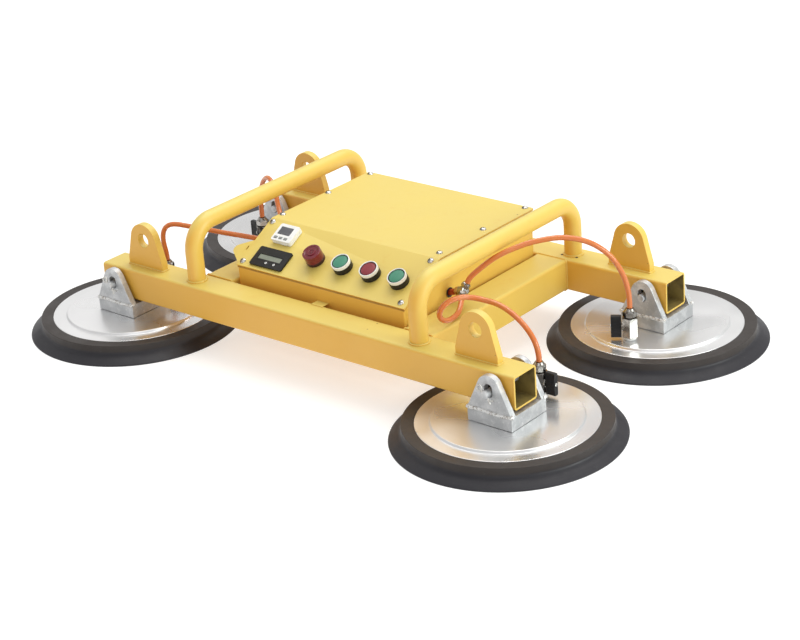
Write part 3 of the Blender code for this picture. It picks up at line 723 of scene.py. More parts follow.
make_camera()
PAINT = paint_finish()
TUBE_INSIDE = tube_inside_shade_finish()
RUBBER = rubber_finish()
DISC = disc_finish()
ZINC = zinc_finish()
WELD = weld_finish()
NICKEL = nickel_finish("nickel", (0.41, 0.395, 0.37))
SCREW = nickel_finish("screw_nickel", (0.84, 0.82, 0.78), True)
BLACK = moulded_finish("black_plastic", (0.0065, 0.006, 0.006), (0.013, 0.012, 0.012), 0.34, 0.50,
                       specular_ior_level=0.4)
WHITE = moulded_finish("white_plastic", (0.84, 0.84, 0.82), (0.79, 0.79, 0.765), 0.24, 0.36)
KEY_GREY = moulded_finish("grey_key", (0.26, 0.27, 0.26), (0.20, 0.21, 0.21), 0.45, 0.60)
GREEN = moulded_finish("green_plastic", (0.050, 0.230, 0.145), (0.070, 0.27, 0.175), 0.34, 0.46)
RED = moulded_finish("red_plastic", (0.22, 0.020, 0.030), (0.28, 0.030, 0.040), 0.34, 0.46)
BUZZER_RED = moulded_finish("dark_red_plastic", (0.150, 0.007, 0.015), (0.19, 0.012, 0.024), 0.20, 0.32,
                            coat_weight=0.3, coat_roughness=0.1)
BUZZER_BASE = moulded_finish("maroon_base", (0.050, 0.008, 0.009), (0.030, 0.007, 0.008), 0.35, 0.50)
ORANGE = hose_finish()
SCREEN_GREEN = screen_finish("meter_screen", (0.20, 0.22, 0.17), (0.25, 0.27, 0.21))
SCREEN_DARK = screen_finish("gauge_screen", (0.075, 0.076, 0.084), (0.11, 0.11, 0.12))
TAPE = moulded_finish("sealing_tape", (0.80, 0.80, 0.79), (0.72, 0.72, 0.70), 0.50, 0.65, 500)
BATTERY = moulded_finish("battery_case", (0.08, 0.09, 0.11), (0.11, 0.12, 0.14), 0.45, 0.60)
BOARD = moulded_finish("circuit_board", (0.02, 0.16, 0.07), (0.03, 0.20, 0.09), 0.35, 0.50)
MOTOR = metal_finish("motor_steel", (0.40, 0.41, 0.43), (0.33, 0.33, 0.35), 0.30, 0.44)
CAST = metal_finish("cast_aluminium", (0.50, 0.51, 0.52), (0.42, 0.43, 0.44), 0.42, 0.60)
BRASS = metal_finish("tan_brass", (0.62, 0.44, 0.26), (0.50, 0.34, 0.19), 0.18, 0.32)
# Dark ochre for the strips under the cover's edges: painted shadow.
OCHRE = moulded_finish("cover_edge_shadow", (0.44, 0.235, 0.045), (0.34, 0.175, 0.034), 0.50, 0.65)
SLAG = moulded_finish("weld_slag", (0.040, 0.024, 0.010), (0.070, 0.042, 0.016), 0.45, 0.65, 700)
SLEEVE = moulded_finish("red_sleeve", (0.34, 0.035, 0.012), (0.42, 0.055, 0.018), 0.20, 0.32)
STEEL = metal_finish("bright_steel", (0.66, 0.65, 0.62), (0.54, 0.53, 0.50), 0.20, 0.36)


# Hoses

def tee_centre(side):
    return Vector((SIDES[side] * TEE.x, TEE.y, TEE.z))


def tee_point(side, port, reach):
    return tee_centre(side) + Vector(TEE_PORTS[side][port]).normalized() * reach


def valve_axis(corner):
    x, y, _ = joint(f"shut_off_{corner}")["pos_m"]
    return Vector((x, y, 0))


def make_hose(corner):
    """The hose from its tee to just above its pad's valve, and the short end that enters the valve."""
    port, side = corner.split("_")
    gap = 0.0003
    start = tee_point(side, port, TEE_REACH + gap)
    lead = tee_point(side, port, TEE_REACH + HOSE_LEAD)
    end = valve_axis(corner) + Vector((0, 0, VALVE_TOP + gap))
    above = end + Vector((0, 0, HOSE_LEAD))
    route = [start, lead, *HOSE_ROUTES[corner], above, end]
    points = relaxed(smooth_points(route, 0.002), 10, 3)
    split = next(i for i in range(len(points)) if path_length(points[i:]) < 0.016)
    run, tail = points[:split + 1], points[split:]
    sides = 20
    hose = solid(f"hose_run_{corner}", tube(run, [HOSE_R] * len(run), sides), ORANGE, angle=60)
    stub = [run[-2], *tail[1:]]
    end_piece = solid(f"hose_end_{corner}", tube(stub, [HOSE_R * 1.012] * len(stub), sides),
                      ORANGE, angle=60)
    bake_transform(hose)
    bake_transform(end_piece)
    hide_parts(f"hose_{corner}")


for corner in CORNERS:
    make_hose(corner)

make_studio()


# The welded frame

def make_beam(name, y):
    outer = rounded_rectangle(TUBE, TUBE, TUBE_ROUND)
    inner = rounded_rectangle(TUBE - 2 * TUBE_WALL, TUBE - 2 * TUBE_WALL, TUBE_ROUND - TUBE_WALL)
    at = shift(0, y, BEAM_TOP - TUBE / 2)
    beam = solid(name, prism(outer, -BEAM_HALF, BEAM_HALF, "X"), PAINT, at)
    cut(beam, prism(inner, -BEAM_HALF - 0.01, BEAM_HALF + 0.01, "X"))
    holes = bmesh.new()
    for x in (-PAD_X, PAD_X):
        z = PIN_Z - BEAM_TOP + TUBE / 2
        bar((x, -TUBE, z), (x, TUBE, z), PIN_HOLE_R, 32, bm=holes)
    cut(beam, holes)
    soften(beam, 0.0005, 2)
    # The faces inside the tube take the darker tube-inside finish: painted shade for the hollow's inside.
    beam.data.materials.append(TUBE_INSIDE)
    bore = TUBE / 2 - TUBE_WALL + 0.0002
    for face in beam.data.polygons:
        across, up = abs(face.center.y), abs(face.center.z)
        face.material_index = int(max(across, up) < bore and abs(face.normal.x) < 0.5)
    on_body(beam, "frame", name.replace("_tube", ""))
    # Thin black discs on the beam faces round each pin hole: painted shade, seen through the bracket slots
    # where the gap behind the ears lies in shade.
    shade_disc_profile = [(0.0068, 0), (0.0118, 0), (0.0120, 0.0001), (0.0120, 0.0004), (0.0068, 0.0004)]
    for side, sx in SIDES.items():
        for end, sy in (("front", -1), ("rear", 1)):
            spot = shift(sx * PAD_X, y + sy * (TUBE / 2 + 0.0001), PIN_Z)
            spot = spot @ spin(-sy * math.pi / 2, "X")
            disc = solid(f"slide_washer_{name}_{side}_{end}", lathe(shade_disc_profile, 40), BLACK, spot)
            on_body(disc, "frame")


def make_side_member(side, sign):
    outer = rounded_rectangle(SIDE_WIDTH, TUBE, TUBE_ROUND)
    at = shift(sign * SIDE_X, 0, BEAM_TOP - TUBE / 2)
    member = solid(f"{side}_side_tube", prism(outer, -SIDE_HALF, SIDE_HALF, "Y"), PAINT, at)
    on_body(member, "frame", f"{side}_side_member")
    low, high, corner = BEAM_TOP - TUBE, BEAM_TOP, TUBE_ROUND * 0.8
    left, right = sign * SIDE_X - SIDE_WIDTH / 2, sign * SIDE_X + SIDE_WIDTH / 2
    for place, y in (("front", -SIDE_HALF), ("rear", SIDE_HALF)):
        loop = [(left + corner, y, high), (right - corner, y, high), (right, y, high - corner),
                (right, y, low + corner), (right - corner, y, low), (left + corner, y, low),
                (left, y, low + corner), (left, y, high - corner)]
        bead = weld_bead(f"{side}_member_weld_{place}", loop, 0.0017, PAINT, closed=True)
        on_body(bead, "frame")


def tangent_outline(half_width, low, straight, centre_z, radius, count):
    """A plate's outline in (x, z): a straight base, sides that lean in, and a round top they touch."""
    reach = Vector((half_width, low + straight)) - Vector((0, centre_z))
    start = math.degrees(math.atan2(reach.y, reach.x) + math.acos(radius / reach.length))
    top = arc((0, centre_z), radius, start, 180 - start, count)
    return [(-half_width, low), (half_width, low), (half_width, low + straight), *top,
            (-half_width, low + straight)]


def make_lug(corner):
    _, sy = CORNERS[corner]
    low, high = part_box(f"lifting_lug_{corner}")
    at = shift((low.x + high.x) / 2, sy * BEAM_Y, low.z)
    outline = tangent_outline(LUG_WIDTH / 2, 0, LUG_STRAIGHT, LUG_HOLE_Z - low.z, LUG_TOP_R, 28)
    plate = prism(outline, -LUG_THICK / 2, LUG_THICK / 2, "Y")
    lug = solid(f"lug_plate_{corner}", plate, PAINT, at)
    hole = circle(LUG_HOLE_R, 48, (0, LUG_HOLE_Z - low.z))
    cut(lug, prism(hole, -LUG_THICK, LUG_THICK, "Y"))
    soften(lug, 0.0008, 2)
    on_body(lug, "frame", f"lifting_lug_{corner}")
    x, y = LUG_WIDTH / 2, LUG_THICK / 2
    loop = [(-x, -y, 0), (x, -y, 0), (x, y, 0), (-x, y, 0)]
    on_body(weld_bead(f"lug_weld_{corner}", loop, 0.0017, PAINT, at, closed=True), "frame")


def make_handle(side, sign):
    box_low, box_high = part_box(f"{side}_handle")
    low, front, rear = box_low.z, box_low.y + HANDLE_R, box_high.y - HANDLE_R
    bend_z = HANDLE_Z - HANDLE_BEND
    path = [(front, low), *arc((front + HANDLE_BEND, bend_z), HANDLE_BEND, 180, 90, 20),
            *arc((rear - HANDLE_BEND, bend_z), HANDLE_BEND, 90, 0, 20), (rear, low)]
    x = sign * HANDLE_X
    pipe = tube([(x, y, z) for y, z in path], [HANDLE_R] * len(path), 40)
    on_body(solid(f"{side}_handle_pipe", pipe, PAINT), "frame", f"{side}_handle")
    for place, y in (("front", front), ("rear", rear)):
        loop = [(a, b, low + 0.0004) for a, b in circle(HANDLE_R + 0.0006, 40, (x, y))]
        bead = weld_bead(f"{side}_handle_weld_{place}", loop, 0.0019, PAINT, closed=True)
        on_body(bead, "frame")


def make_weld_marks():
    """The tab that joins the box to the front beam, and two spots of slag at the right rear post."""
    outline = rectangle(0.0220, 0.0150, (0.0078, housing_low.y - 0.0078))
    plate = solid("box_tab", prism(outline, BEAM_TOP, BEAM_TOP + 0.0010), PAINT)
    soften(plate, 0.0004, 2)
    on_body(plate, "frame")
    for i, (x, y, radius) in enumerate(((0.2035, 0.1732, 0.0020), (0.2290, 0.1748, 0.0022))):
        profile = [(0, 0.0010), (radius * 0.6, 0.0008), (radius, 0.0002), (radius, -0.0004), (0, -0.0004)]
        lump = lathe(profile, 14, close=False)
        on_body(solid(f"slag_spot_{i + 1}", lump, SLAG, shift(x, y, BEAM_TOP), 60), "frame")


make_beam("front_beam_tube", -BEAM_Y)
make_beam("rear_beam_tube", BEAM_Y)
for side, sign in SIDES.items():
    make_side_member(side, sign)
    make_handle(side, sign)
for corner in CORNERS:
    make_lug(corner)
make_weld_marks()


# Suction pads

def seal_profile():
    inside, groove = PLATE_R + 0.0003, 0.116
    top = [(inside, RING_TOP - 0.0005), (inside + 0.0006, RING_TOP)]
    shoulder = arc((RING_R - 0.0008, RING_TOP - 0.0008), 0.0008, 90, 0, 4)
    waist = bezier((RING_R, 0.0147), (RING_R + 0.0006, 0.0118), (0.1520, 0.0092), 8)
    skirt = bezier((0.1520, 0.0092), (0.1592, 0.0056), (LIP_R - 0.0003, 0.0017), 8)[1:]
    lip = arc((LIP_R - 0.0008, 0.0008), 0.0008, 45, -90, 6)
    under = [(0.1530, 0), *bezier((0.1490, 0.0018), (0.1400, 0.0058), (groove, 0.0078), 6),
             (groove, PLATE_LOW - 0.0003), (inside, PLATE_LOW - 0.0003)]
    return [*top, *shoulder, *waist, *skirt, *lip, *under]


def disc_profile():
    """A raised middle with a turned step down to the outer flange."""
    crest = bezier((STEP_R - 0.0005, STEP_TOP), (STEP_R + 0.0003, STEP_TOP - 0.0001),
                   (STEP_R + 0.0006, STEP_TOP - 0.0009), 4)
    foot = bezier((STEP_R + 0.0014, RING_TOP + 0.0007), (STEP_R + 0.0017, RING_TOP - 0.0001),
                  (STEP_R + 0.0026, RING_TOP), 4)
    edge = arc((PLATE_R - 0.0008, RING_TOP - 0.0008), 0.0008, 90, 0, 4)
    return [(0, STEP_TOP), (0.0300, STEP_TOP), (0.0600, STEP_TOP), (0.0900, STEP_TOP), *crest, *foot, *edge,
            (PLATE_R, PLATE_LOW), (0, PLATE_LOW)]


def bracket_mesh():
    """Block and ears as one shape, built round the pad's axis."""
    half, inner = BRACKET_Y / 2, BRACKET_Y / 2 - EAR_THICK
    low, top = bracket_low.z, EAR_TOP + 0.01
    section = [(-half, low), (half, low), (half, top), (inner, top), (inner, BLOCK_TOP),
               (-inner, BLOCK_TOP), (-inner, top), (-half, top)]
    shape = solid("bracket_shape", prism(section, -0.06, 0.06, "X"), ZINC)
    face = tangent_outline(BRACKET_X / 2, low, BLOCK_TOP - low, EAR_TOP - EAR_TOP_R, EAR_TOP_R, 28)
    combine(shape, "INTERSECT", prism(face, -0.06, 0.06, "Y"))
    slot = [*arc((0, PIN_Z), SLOT_R, 180, 360, 16), *arc((0, PIN_Z + FLOAT), SLOT_R, 0, 180, 16)]
    cut(shape, prism(slot, -0.06, 0.06, "Y"))
    soften(shape, 0.0009, 3)
    return shape


def make_split_pin(name, pin_body, at):
    """A split pin through the clevis pin's end: an eye, a straight shank and two spread legs."""
    wire, eye, shank = 0.0015, 0.0040, 0.0080
    loop = [(-shank - eye + eye * math.cos(a), 0, eye * math.sin(a))
            for a in (math.radians(20 + 320 * i / 18) for i in range(19))]
    bm = bmesh.new()
    tube(loop, [wire] * len(loop), 10, bm=bm)
    for sign, spread in ((1, 0.0030), (-1, 0.0052)):
        leg = [(-shank - 0.0004, 0, sign * 0.0012), (-shank + 0.0016, 0, sign * 0.0007),
               (shank, 0, sign * 0.0007), (shank + 0.0020, 0, sign * 0.0014),
               (shank + 0.0060, 0, sign * spread)]
        leg = smooth_points(leg, 0.0008)
        tube(leg, [wire * 0.92] * len(leg), 10, bm=bm)
    return on_body(solid(name, bm, STEEL, at, 60), pin_body)


def make_pin(corner, pad):
    body = f"pin_{corner}"
    inner, outer, chamfer = pin_low.y - PAD_Y, pin_high.y - PAD_Y, 0.0012
    profile = [(0, inner), (PIN_R - chamfer, inner), (PIN_R, inner + chamfer), (PIN_R, outer - chamfer),
               (PIN_R - chamfer, outer), (0, outer)]
    along_y = pad @ shift(0, 0, PIN_Z) @ spin(-math.pi / 2, "X")
    pin = solid(f"clevis_pin_{corner}", lathe(profile, 32, close=False), ZINC, along_y)
    on_body(pin, body, f"pivot_pin_{corner}")
    cotter = pad @ shift(0, COTTER_AT, PIN_Z)
    cotter = cotter @ spin(math.radians(COTTER_TURN), "Y")
    make_split_pin(f"split_pin_{corner}", body, cotter)


def make_valve(corner):
    body, lever = f"pad_{corner}", f"lever_{corner}"
    turn = joint(f"shut_off_{corner}")
    stem = Vector(turn["axis"])
    stem_z = turn["pos_m"][2]
    at = shift(*valve_axis(corner)) @ spin(math.atan2(stem.y, stem.x), "Z")
    hexagon = prism(circle(0.0125, 6, start=math.radians(30)), 0.0345, 0.0645)
    valve = solid(f"valve_{corner}", hexagon, NICKEL, at)
    cone = [(0, 0.0335), (0.0112, 0.0335), (0.0130, 0.0362), (0.0130, 0.0622), (0.0108, 0.0648), (0, 0.0648)]
    combine(valve, "INTERSECT", lathe(cone, 48, close=False))
    soften(valve, 0.0004, 2, 25)
    on_body(valve, body, f"valve_body_{corner}")
    turned = bmesh.new()
    neck = [(0, 0.0145), (0.0047, 0.0145), (0.0047, 0.0296), (0.0080, 0.0296), (0.0080, 0.0350), (0, 0.0350)]
    lathe(neck, 32, close=False, bm=turned)
    threads = [(0.0070 + 0.0005 * (i % 2), 0.0642 + 0.0003 * i) for i in range(7)]
    lathe([(0, 0.0638), *threads, (0, 0.0665)], 32, close=False, bm=turned)
    on_body(solid(f"valve_neck_{corner}", turned, NICKEL, at), body)
    nut = solid(f"valve_nut_{corner}", prism(circle(0.0106, 6), 0.0660, 0.0786), NICKEL, at)
    taper = [(0, 0.0660), (0.0092, 0.0660), (0.0108, 0.0670), (0.0108, 0.0722), (0.0078, 0.0752),
             (0.0074, 0.0760), (0.0058, 0.0786), (0, 0.0786)]
    combine(nut, "INTERSECT", lathe(taper, 48, close=False))
    soften(nut, 0.0003, 2, 25)
    on_body(nut, body)
    wraps = [(0.0082 + 0.0005 * math.sin(i * 2.4) + 0.0006, 0.0297 + 0.00045 * i) for i in range(10)]
    tape = lathe([(0.0078, 0.0297), *wraps, (0.0078, 0.0340)], 40)
    on_body(solid(f"sealing_tape_{corner}", tape, TAPE, at, 60), body)
    across = shift(0, 0, stem_z) @ spin(math.pi / 2, "Y")
    boss = [(0, 0.006), (0.0068, 0.006), (0.0068, 0.0115), (0.0060, 0.0122), (0, 0.0122)]
    hub = solid(f"valve_stem_{corner}", lathe(boss, 32, close=False, matrix=across), NICKEL, at)
    on_body(hub, body)
    outline = rounded_rectangle(0.0080, 0.0340, 0.0020, 4, (0, stem_z))
    handle = solid(f"lever_wing_{corner}", prism(outline, LEVER_LOW, LEVER_HIGH, "X"), BLACK, at)
    middle = (LEVER_LOW + LEVER_HIGH) / 2 + 0.001
    cuts = bmesh.new()
    hollow = rounded_rectangle(0.0110, 0.0250, 0.0015, 3, (middle, stem_z))
    for side in (-1, 1):
        prism(hollow, side * 0.0033, side * 0.0060, "Y", bm=cuts)
    cut(handle, cuts)
    ribs = bmesh.new()
    for i in (-1, 0, 1):
        rib = rounded_rectangle(0.0100, 0.0012, 0.0004, 2, (middle, stem_z + i * 0.0060))
        prism(rib, -0.0038, 0.0038, "Y", bm=ribs)
    combine(handle, "UNION", ribs)
    soften(handle, 0.0005, 2)
    on_body(handle, lever, f"valve_lever_{corner}")
    end = LEVER_HIGH
    tip = [(0, end - 0.0004), (0.0026, end - 0.0004), (0.0026, end + 0.0006), (0.0018, end + 0.0010),
           (0, end + 0.0010)]
    screw = solid(f"lever_screw_{corner}", lathe(tip, 20, close=False, matrix=across), STEEL, at)
    on_body(screw, lever)


def make_pad(corner, bracket):
    sx, sy = CORNERS[corner]
    body = f"pad_{corner}"
    turn = spin(0 if sy > 0 else math.pi, "Z")
    pad = shift(sx * PAD_X, sy * PAD_Y, 0) @ turn
    seal = solid(f"rubber_ring_{corner}", lathe(seal_profile(), 144), RUBBER, pad, 50)
    on_body(seal, body, f"pad_seal_{corner}")
    plate = lathe(disc_profile(), 144, close=False)
    disc = solid(f"suction_disc_{corner}", plate, DISC, pad, 50)
    on_body(disc, body, f"pad_plate_{corner}")
    block = bpy.data.objects.new(f"bracket_{corner}", bracket.data)
    bpy.context.scene.collection.objects.link(block)
    block.matrix_world = pad
    on_body(block, body, f"pad_bracket_{corner}")
    half, y = BRACKET_X / 2, BRACKET_Y / 2
    for name, side in (("outer", 1), ("inner", -1)):
        line = [(-half + 0.001, side * (y - 0.006), BLOCK_TOP + 0.0004),
                (-half + 0.0008, side * y, BLOCK_TOP + 0.0004), (-0.012, side * y, BLOCK_TOP - 0.0006),
                (0.014, side * y, BLOCK_TOP + 0.0008), (half - 0.0008, side * y, BLOCK_TOP),
                (half - 0.001, side * (y - 0.006), BLOCK_TOP + 0.0004)]
        bead = weld_bead(f"bracket_weld_{name}_{corner}", line, 0.0026, WELD, pad)
        on_body(bead, body)
    make_pin(corner, pad)
    make_valve(corner)


bracket_shape = bracket_mesh()
for corner in CORNERS:
    make_pad(corner, bracket_shape)
bpy.data.objects.remove(bracket_shape)


# Control box

def make_cover():
    """Bent sheet with a rounded fold, cut-outs for the panel's devices and a slotted ear."""
    up = Vector((math.cos(PANEL_SLOPE), math.sin(PANEL_SLOPE)))
    front = Vector((PANEL_FOOT.y, PANEL_FOOT.z))
    inward = Vector((up.y, -up.x))
    slope = math.degrees(PANEL_SLOPE)
    fold = 0.006
    reach = fold * math.tan(PANEL_SLOPE / 2)
    centre = (COVER_FOLD + reach, COVER_TOP - fold)
    section = [(COVER_REAR, COVER_TOP), *arc(centre, fold, 90, 90 + slope, 6), tuple(front),
               tuple(front + SHEET * inward), *arc(centre, fold - SHEET, 90 + slope, 90, 6),
               (COVER_REAR, COVER_TOP - SHEET)]
    cover = solid("cover_sheet", prism(section, -COVER_X, COVER_X, "X"), PAINT)
    ear = [(-0.158, 0.053), (-0.158, 0.003), (-0.1660, 0.006), *arc((-0.1790, 0.0275), 0.0095, 240, 120, 16),
           (-0.1660, 0.048)]
    added = prism(ear, -SHEET, 0)
    added.transform(PANEL)
    combine(cover, "UNION", added)
    holes = [rectangle(0.060, 0.032, METER_AT), rectangle(0.034, 0.028, GAUGE_AT)]
    holes += [circle(0.0112, 40, BUZZER_AT)]
    holes += [circle(0.0112, 40, (x, BUTTON_UP)) for x in BUTTONS.values()]
    slot = [*arc((-0.1657, 0.0365), 0.0011, 0, 180, 6), *arc((-0.1657, 0.0305), 0.0011, 180, 360, 6)]
    cuts = bmesh.new()
    for outline in [*holes, slot]:
        prism(outline, -0.02, 0.02, bm=cuts)
    cuts.transform(PANEL)
    cut(cover, cuts)
    corners = bmesh.new()
    radius = 0.004
    for sx in (-1, 1):
        x = sx * (COVER_X - radius)
        outline = [(sx * COVER_X * 1.01, COVER_REAR * 1.01), (x, COVER_REAR * 1.01),
                   *[(x + sx * a, COVER_REAR - radius + b) for a, b in arc((0, 0), radius, 90, 0, 8)],
                   (sx * COVER_X * 1.01, COVER_REAR - radius)]
        prism(outline, COVER_TOP - 0.02, COVER_TOP + 0.02, bm=corners)
    cut(cover, corners)
    soften(cover, 0.0005, 2)
    return on_body(cover, "frame", "box_cover")


def make_housing():
    """A folded sheet box with a small bend radius, held off the side members by four spacers."""
    low, front, rear = housing_low.z, housing_low.y, housing_high.y
    half = BOX_X
    under = SHEET + 0.0003
    slope = math.tan(PANEL_SLOPE)
    outline = rounded_rectangle(2 * half, rear - front, 0.0025, 5, (0, (front + rear) / 2))
    tub = solid("housing_sheet", prism(outline, low, COVER_TOP + 0.01), PAINT)
    front_z = PANEL_FOOT.z + (front - 0.01 - PANEL_FOOT.y) * slope - under / math.cos(PANEL_SLOPE)
    fold = COVER_FOLD + under * math.tan(PANEL_SLOPE / 2)
    top = COVER_TOP - under
    keep = [(front - 0.01, low - 0.01), (rear + 0.01, low - 0.01), (rear + 0.01, top), (fold, top),
            (front - 0.01, front_z)]
    combine(tub, "INTERSECT", prism(keep, -half - 0.01, half + 0.01, "X"))
    for x, y, size in ((*METER_AT, (0.061, 0.033)), (*GAUGE_AT, (0.035, 0.029))):
        pocket = prism(rectangle(*size, (x, y)), -0.035, 0.01)
        pocket.transform(PANEL)
        cut(tub, pocket)
    holes = bmesh.new()
    for sign in SIDES.values():
        x, y, z = sign * HOSE_HOLE.x, HOSE_HOLE.y, HOSE_HOLE.z
        bar((x - sign * 0.03, y, z), (x + sign * 0.01, y, z), 0.0066, 32, bm=holes)
    cut(tub, holes)
    soften(tub, 0.0004, 2)
    on_body(tub, "frame", "box_housing")
    reach = housing_high.x
    for side, sign in SIDES.items():
        for place, y in (("front", -0.105), ("rear", 0.105)):
            middle = shift(sign * (half + reach - 0.001) / 2, y, 0.080)
            pad = prism(rounded_rectangle(0.030, 0.024, 0.003), (half - reach - 0.001) / 2,
                        (reach - half + 0.001) / 2, "X")
            spacer = solid(f"box_spacer_{place}_{side}", pad, PAINT, middle)
            soften(spacer, 0.0004, 2)
            on_body(spacer, "frame")


def cover_line(depth, front, rear):
    """The cover's bent line in (y, z), so far below its top face."""
    slope = PANEL_SLOPE
    front_z = PANEL_FOOT.z + (front - PANEL_FOOT.y) * math.tan(slope) - depth / math.cos(slope)
    return [(rear, COVER_TOP - depth), (COVER_FOLD + depth * math.tan(slope / 2), COVER_TOP - depth),
            (front, front_z)]


def make_seam_shadows_and_clip():
    """Dark ochre strips on the box wall just under the cover's side and front edges, painted shadow of the
    cover's edge along the joint, and the clip nut behind the ear's slot.
    """
    front, rear = housing_low.y, housing_high.y
    for side, sign in SIDES.items():
        # Under each side edge of the cover, a dark ochre strip on the box wall: painted shadow of the cover's
        # edge.
        outline = cover_line(SHEET, front, rear) + cover_line(SHEET + 0.0019, front, rear)[::-1]
        low, high = sorted((sign * (BOX_X - 0.0005), sign * (BOX_X + 0.0005)))
        on_body(solid(f"cover_seam_{side}", prism(outline, low, high, "X"), OCHRE), "frame")
    # The same painted shadow under the cover's front edge.
    top = cover_line(SHEET, front, rear)[2][1]
    section = rectangle(0.0010, 0.0019, (front, top - 0.00095))
    on_body(solid("cover_seam_front", prism(section, -BOX_X, BOX_X, "X"), OCHRE), "frame")
    outline = rounded_rectangle(0.0070, 0.0130, 0.0010, 3, (-0.1657, 0.0335))
    clip = prism(outline, -SHEET - 0.0012, -SHEET)
    on_body(solid("ear_clip_nut", clip, BLACK, PANEL), "frame")


def make_cover_screws():
    """Domed nickel screws with a cross recess, along the top's edges and at the panel's corners."""
    dome = [(0, 0.0030), (0.0018, 0.0029), (0.0034, 0.0023), (0.0045, 0.0013), (0.0050, 0.0003),
            (0.0050, -0.0006), (0, -0.0006)]
    head = solid("screw_head", lathe(dome, 28, close=False), SCREW)
    for cross in ((0.0048, 0.0010), (0.0010, 0.0048)):
        cut(head, block((*cross, 0.0024), (0, 0, 0.0030)))
    flat = shift(0, 0, COVER_TOP)
    top = ((-0.1544, 0.1560), (-0.1577, 0.0579), (-0.1575, -0.0479), (0.1501, 0.1565), (0.1481, 0.0552),
           (0.1490, -0.0490))
    spots = [flat @ shift(x, y, 0) for x, y in top]
    spots += [PANEL @ shift(x, y, 0) for x in (-0.1564, 0.1510) for y in (0.0090, 0.0900)]
    for i, spot in enumerate(spots):
        screw = bpy.data.objects.new(f"cover_screw_{i + 1}", head.data)
        bpy.context.scene.collection.objects.link(screw)
        screw.matrix_world = spot @ spin(i * 1.1, "Z")
        on_body(screw, "frame")
    bpy.data.objects.remove(head)


def on_panel(x, y, lift=0.0):
    return PANEL @ shift(x, y, lift)


def make_hour_meter():
    at = on_panel(*METER_AT)
    middle = (-0.0010, -0.0006)
    plate = prism(rounded_rectangle(*METER_SIZE, 0.0028), 0.0003, 0.0030)
    face = solid("meter_face", plate, BLACK, at)
    combine(face, "UNION", block((0.058, 0.030, 0.026), (0, 0, -0.0115)))
    frame_edge = prism(rounded_rectangle(0.0490, 0.0132, 0.0010, 3, middle), 0.0020, 0.0034)
    combine(face, "UNION", frame_edge)
    window = rounded_rectangle(0.0450, 0.0092, 0.0006, 3, middle)
    cut(face, prism(window, 0.0018, 0.01))
    soften(face, 0.0005, 2)
    on_body(face, "frame", "hour_meter")
    glass = prism(rounded_rectangle(0.0446, 0.0088, 0.0005, 3, middle), 0.0016, 0.0024)
    on_body(solid("meter_screen_glass", glass, SCREEN_GREEN, at), "frame")
    ring = [(0, 0.0028), (0.0020, 0.0028), (0.0020, 0.0031), (0.0015, 0.0035), (0.0010, 0.0033),
            (0.0008, 0.0030), (0, 0.0030)]
    for i, x in enumerate((-0.0024, 0.0136)):
        spot = at @ shift(x, -0.0104, 0)
        on_body(solid(f"meter_lamp_{i + 1}", lathe(ring, 24, close=False), WHITE, spot), "frame")


def make_gauge():
    at = on_panel(*GAUGE_AT)
    across, up = GAUGE_SIZE
    outline = rounded_rectangle(across, up, 0.0034)
    case = solid("gauge_case", prism(outline, 0.0003, 0.0085), WHITE, at)
    combine(case, "UNION", block((0.032, 0.026, 0.028), (0, 0, -0.0135)))
    middle = (-0.0023, 0.0034)
    pockets = prism(rounded_rectangle(0.0245, 0.0150, 0.0008, 3, middle), 0.0075, 0.0120)
    keys = [KEY_MIDDLE + i * KEY_SPACING for i in (-1, 0, 1)]
    for x in keys:
        prism(rounded_rectangle(0.0070, 0.0046, 0.0008, 3, (x, KEY_UP)), 0.0060, 0.0120, bm=pockets)
    cut(case, pockets)
    for y in (-0.009, 0.007):
        cut(case, block((0.0016, 0.0075, 0.0018), (across / 2, y, 0.0044)))
    combine(case, "UNION", block((0.0090, 0.0016, 0.0040), (0.006, -up / 2, 0.0026)))
    soften(case, 0.0005, 2)
    on_body(case, "frame", "vacuum_gauge")
    glass = prism(rounded_rectangle(0.0241, 0.0146, 0.0006, 3, middle), 0.0073, 0.0080)
    on_body(solid("gauge_screen_glass", glass, SCREEN_DARK, at), "frame")
    for x, name in zip(keys, ("left", "middle", "right")):
        spot = at @ shift(x, KEY_UP, 0.0085)
        cap = prism(rounded_rectangle(0.0062, 0.0038, 0.0010, 4), -0.0017, 0.0006)
        key = solid(f"key_cap_{name}", cap, KEY_GREY, spot)
        soften(key, 0.0003, 2)
        on_body(key, f"key_{name}", f"gauge_key_{name}")


def make_buzzer():
    at = on_panel(*BUZZER_AT)
    base = [(0, -0.0220), (0.0105, -0.0220), (0.0105, 0.0003), (0.0144, 0.0003), (0.0147, 0.0006),
            (0.0147, 0.0052), (0.0143, 0.0056), (0, 0.0056)]
    foot = solid("buzzer_foot", lathe(base, 56, close=False), BUZZER_BASE, at)
    on_body(foot, "frame", "warning_buzzer")
    dome = [(0, 0.0050), (0.0142, 0.0050), (0.0145, 0.0060), (0.0145, 0.0170),
            *arc((0.0133, 0.0182), 0.0012, 0, 90, 5), (0.0112, 0.0194), (0.0100, 0.0184), (0.0074, 0.0184),
            (0.0070, 0.0196), (0.0044, 0.0196), (0.0040, 0.0186), (0.0022, 0.0186), (0.0018, 0.0196),
            (0.0008, 0.0196), (0.0006, 0.0176), (0, 0.0176)]
    cap = solid("buzzer_dome", lathe(dome, 56, close=False), BUZZER_RED, at)
    outline = rounded_rectangle(0.0022, 0.0040, 0.0008, 3, (-0.0132, -0.0040))
    notch = prism(outline, 0.0130, 0.0240)
    cut(cap, notch)
    soften(cap, 0.0002, 2)
    on_body(cap, "frame")


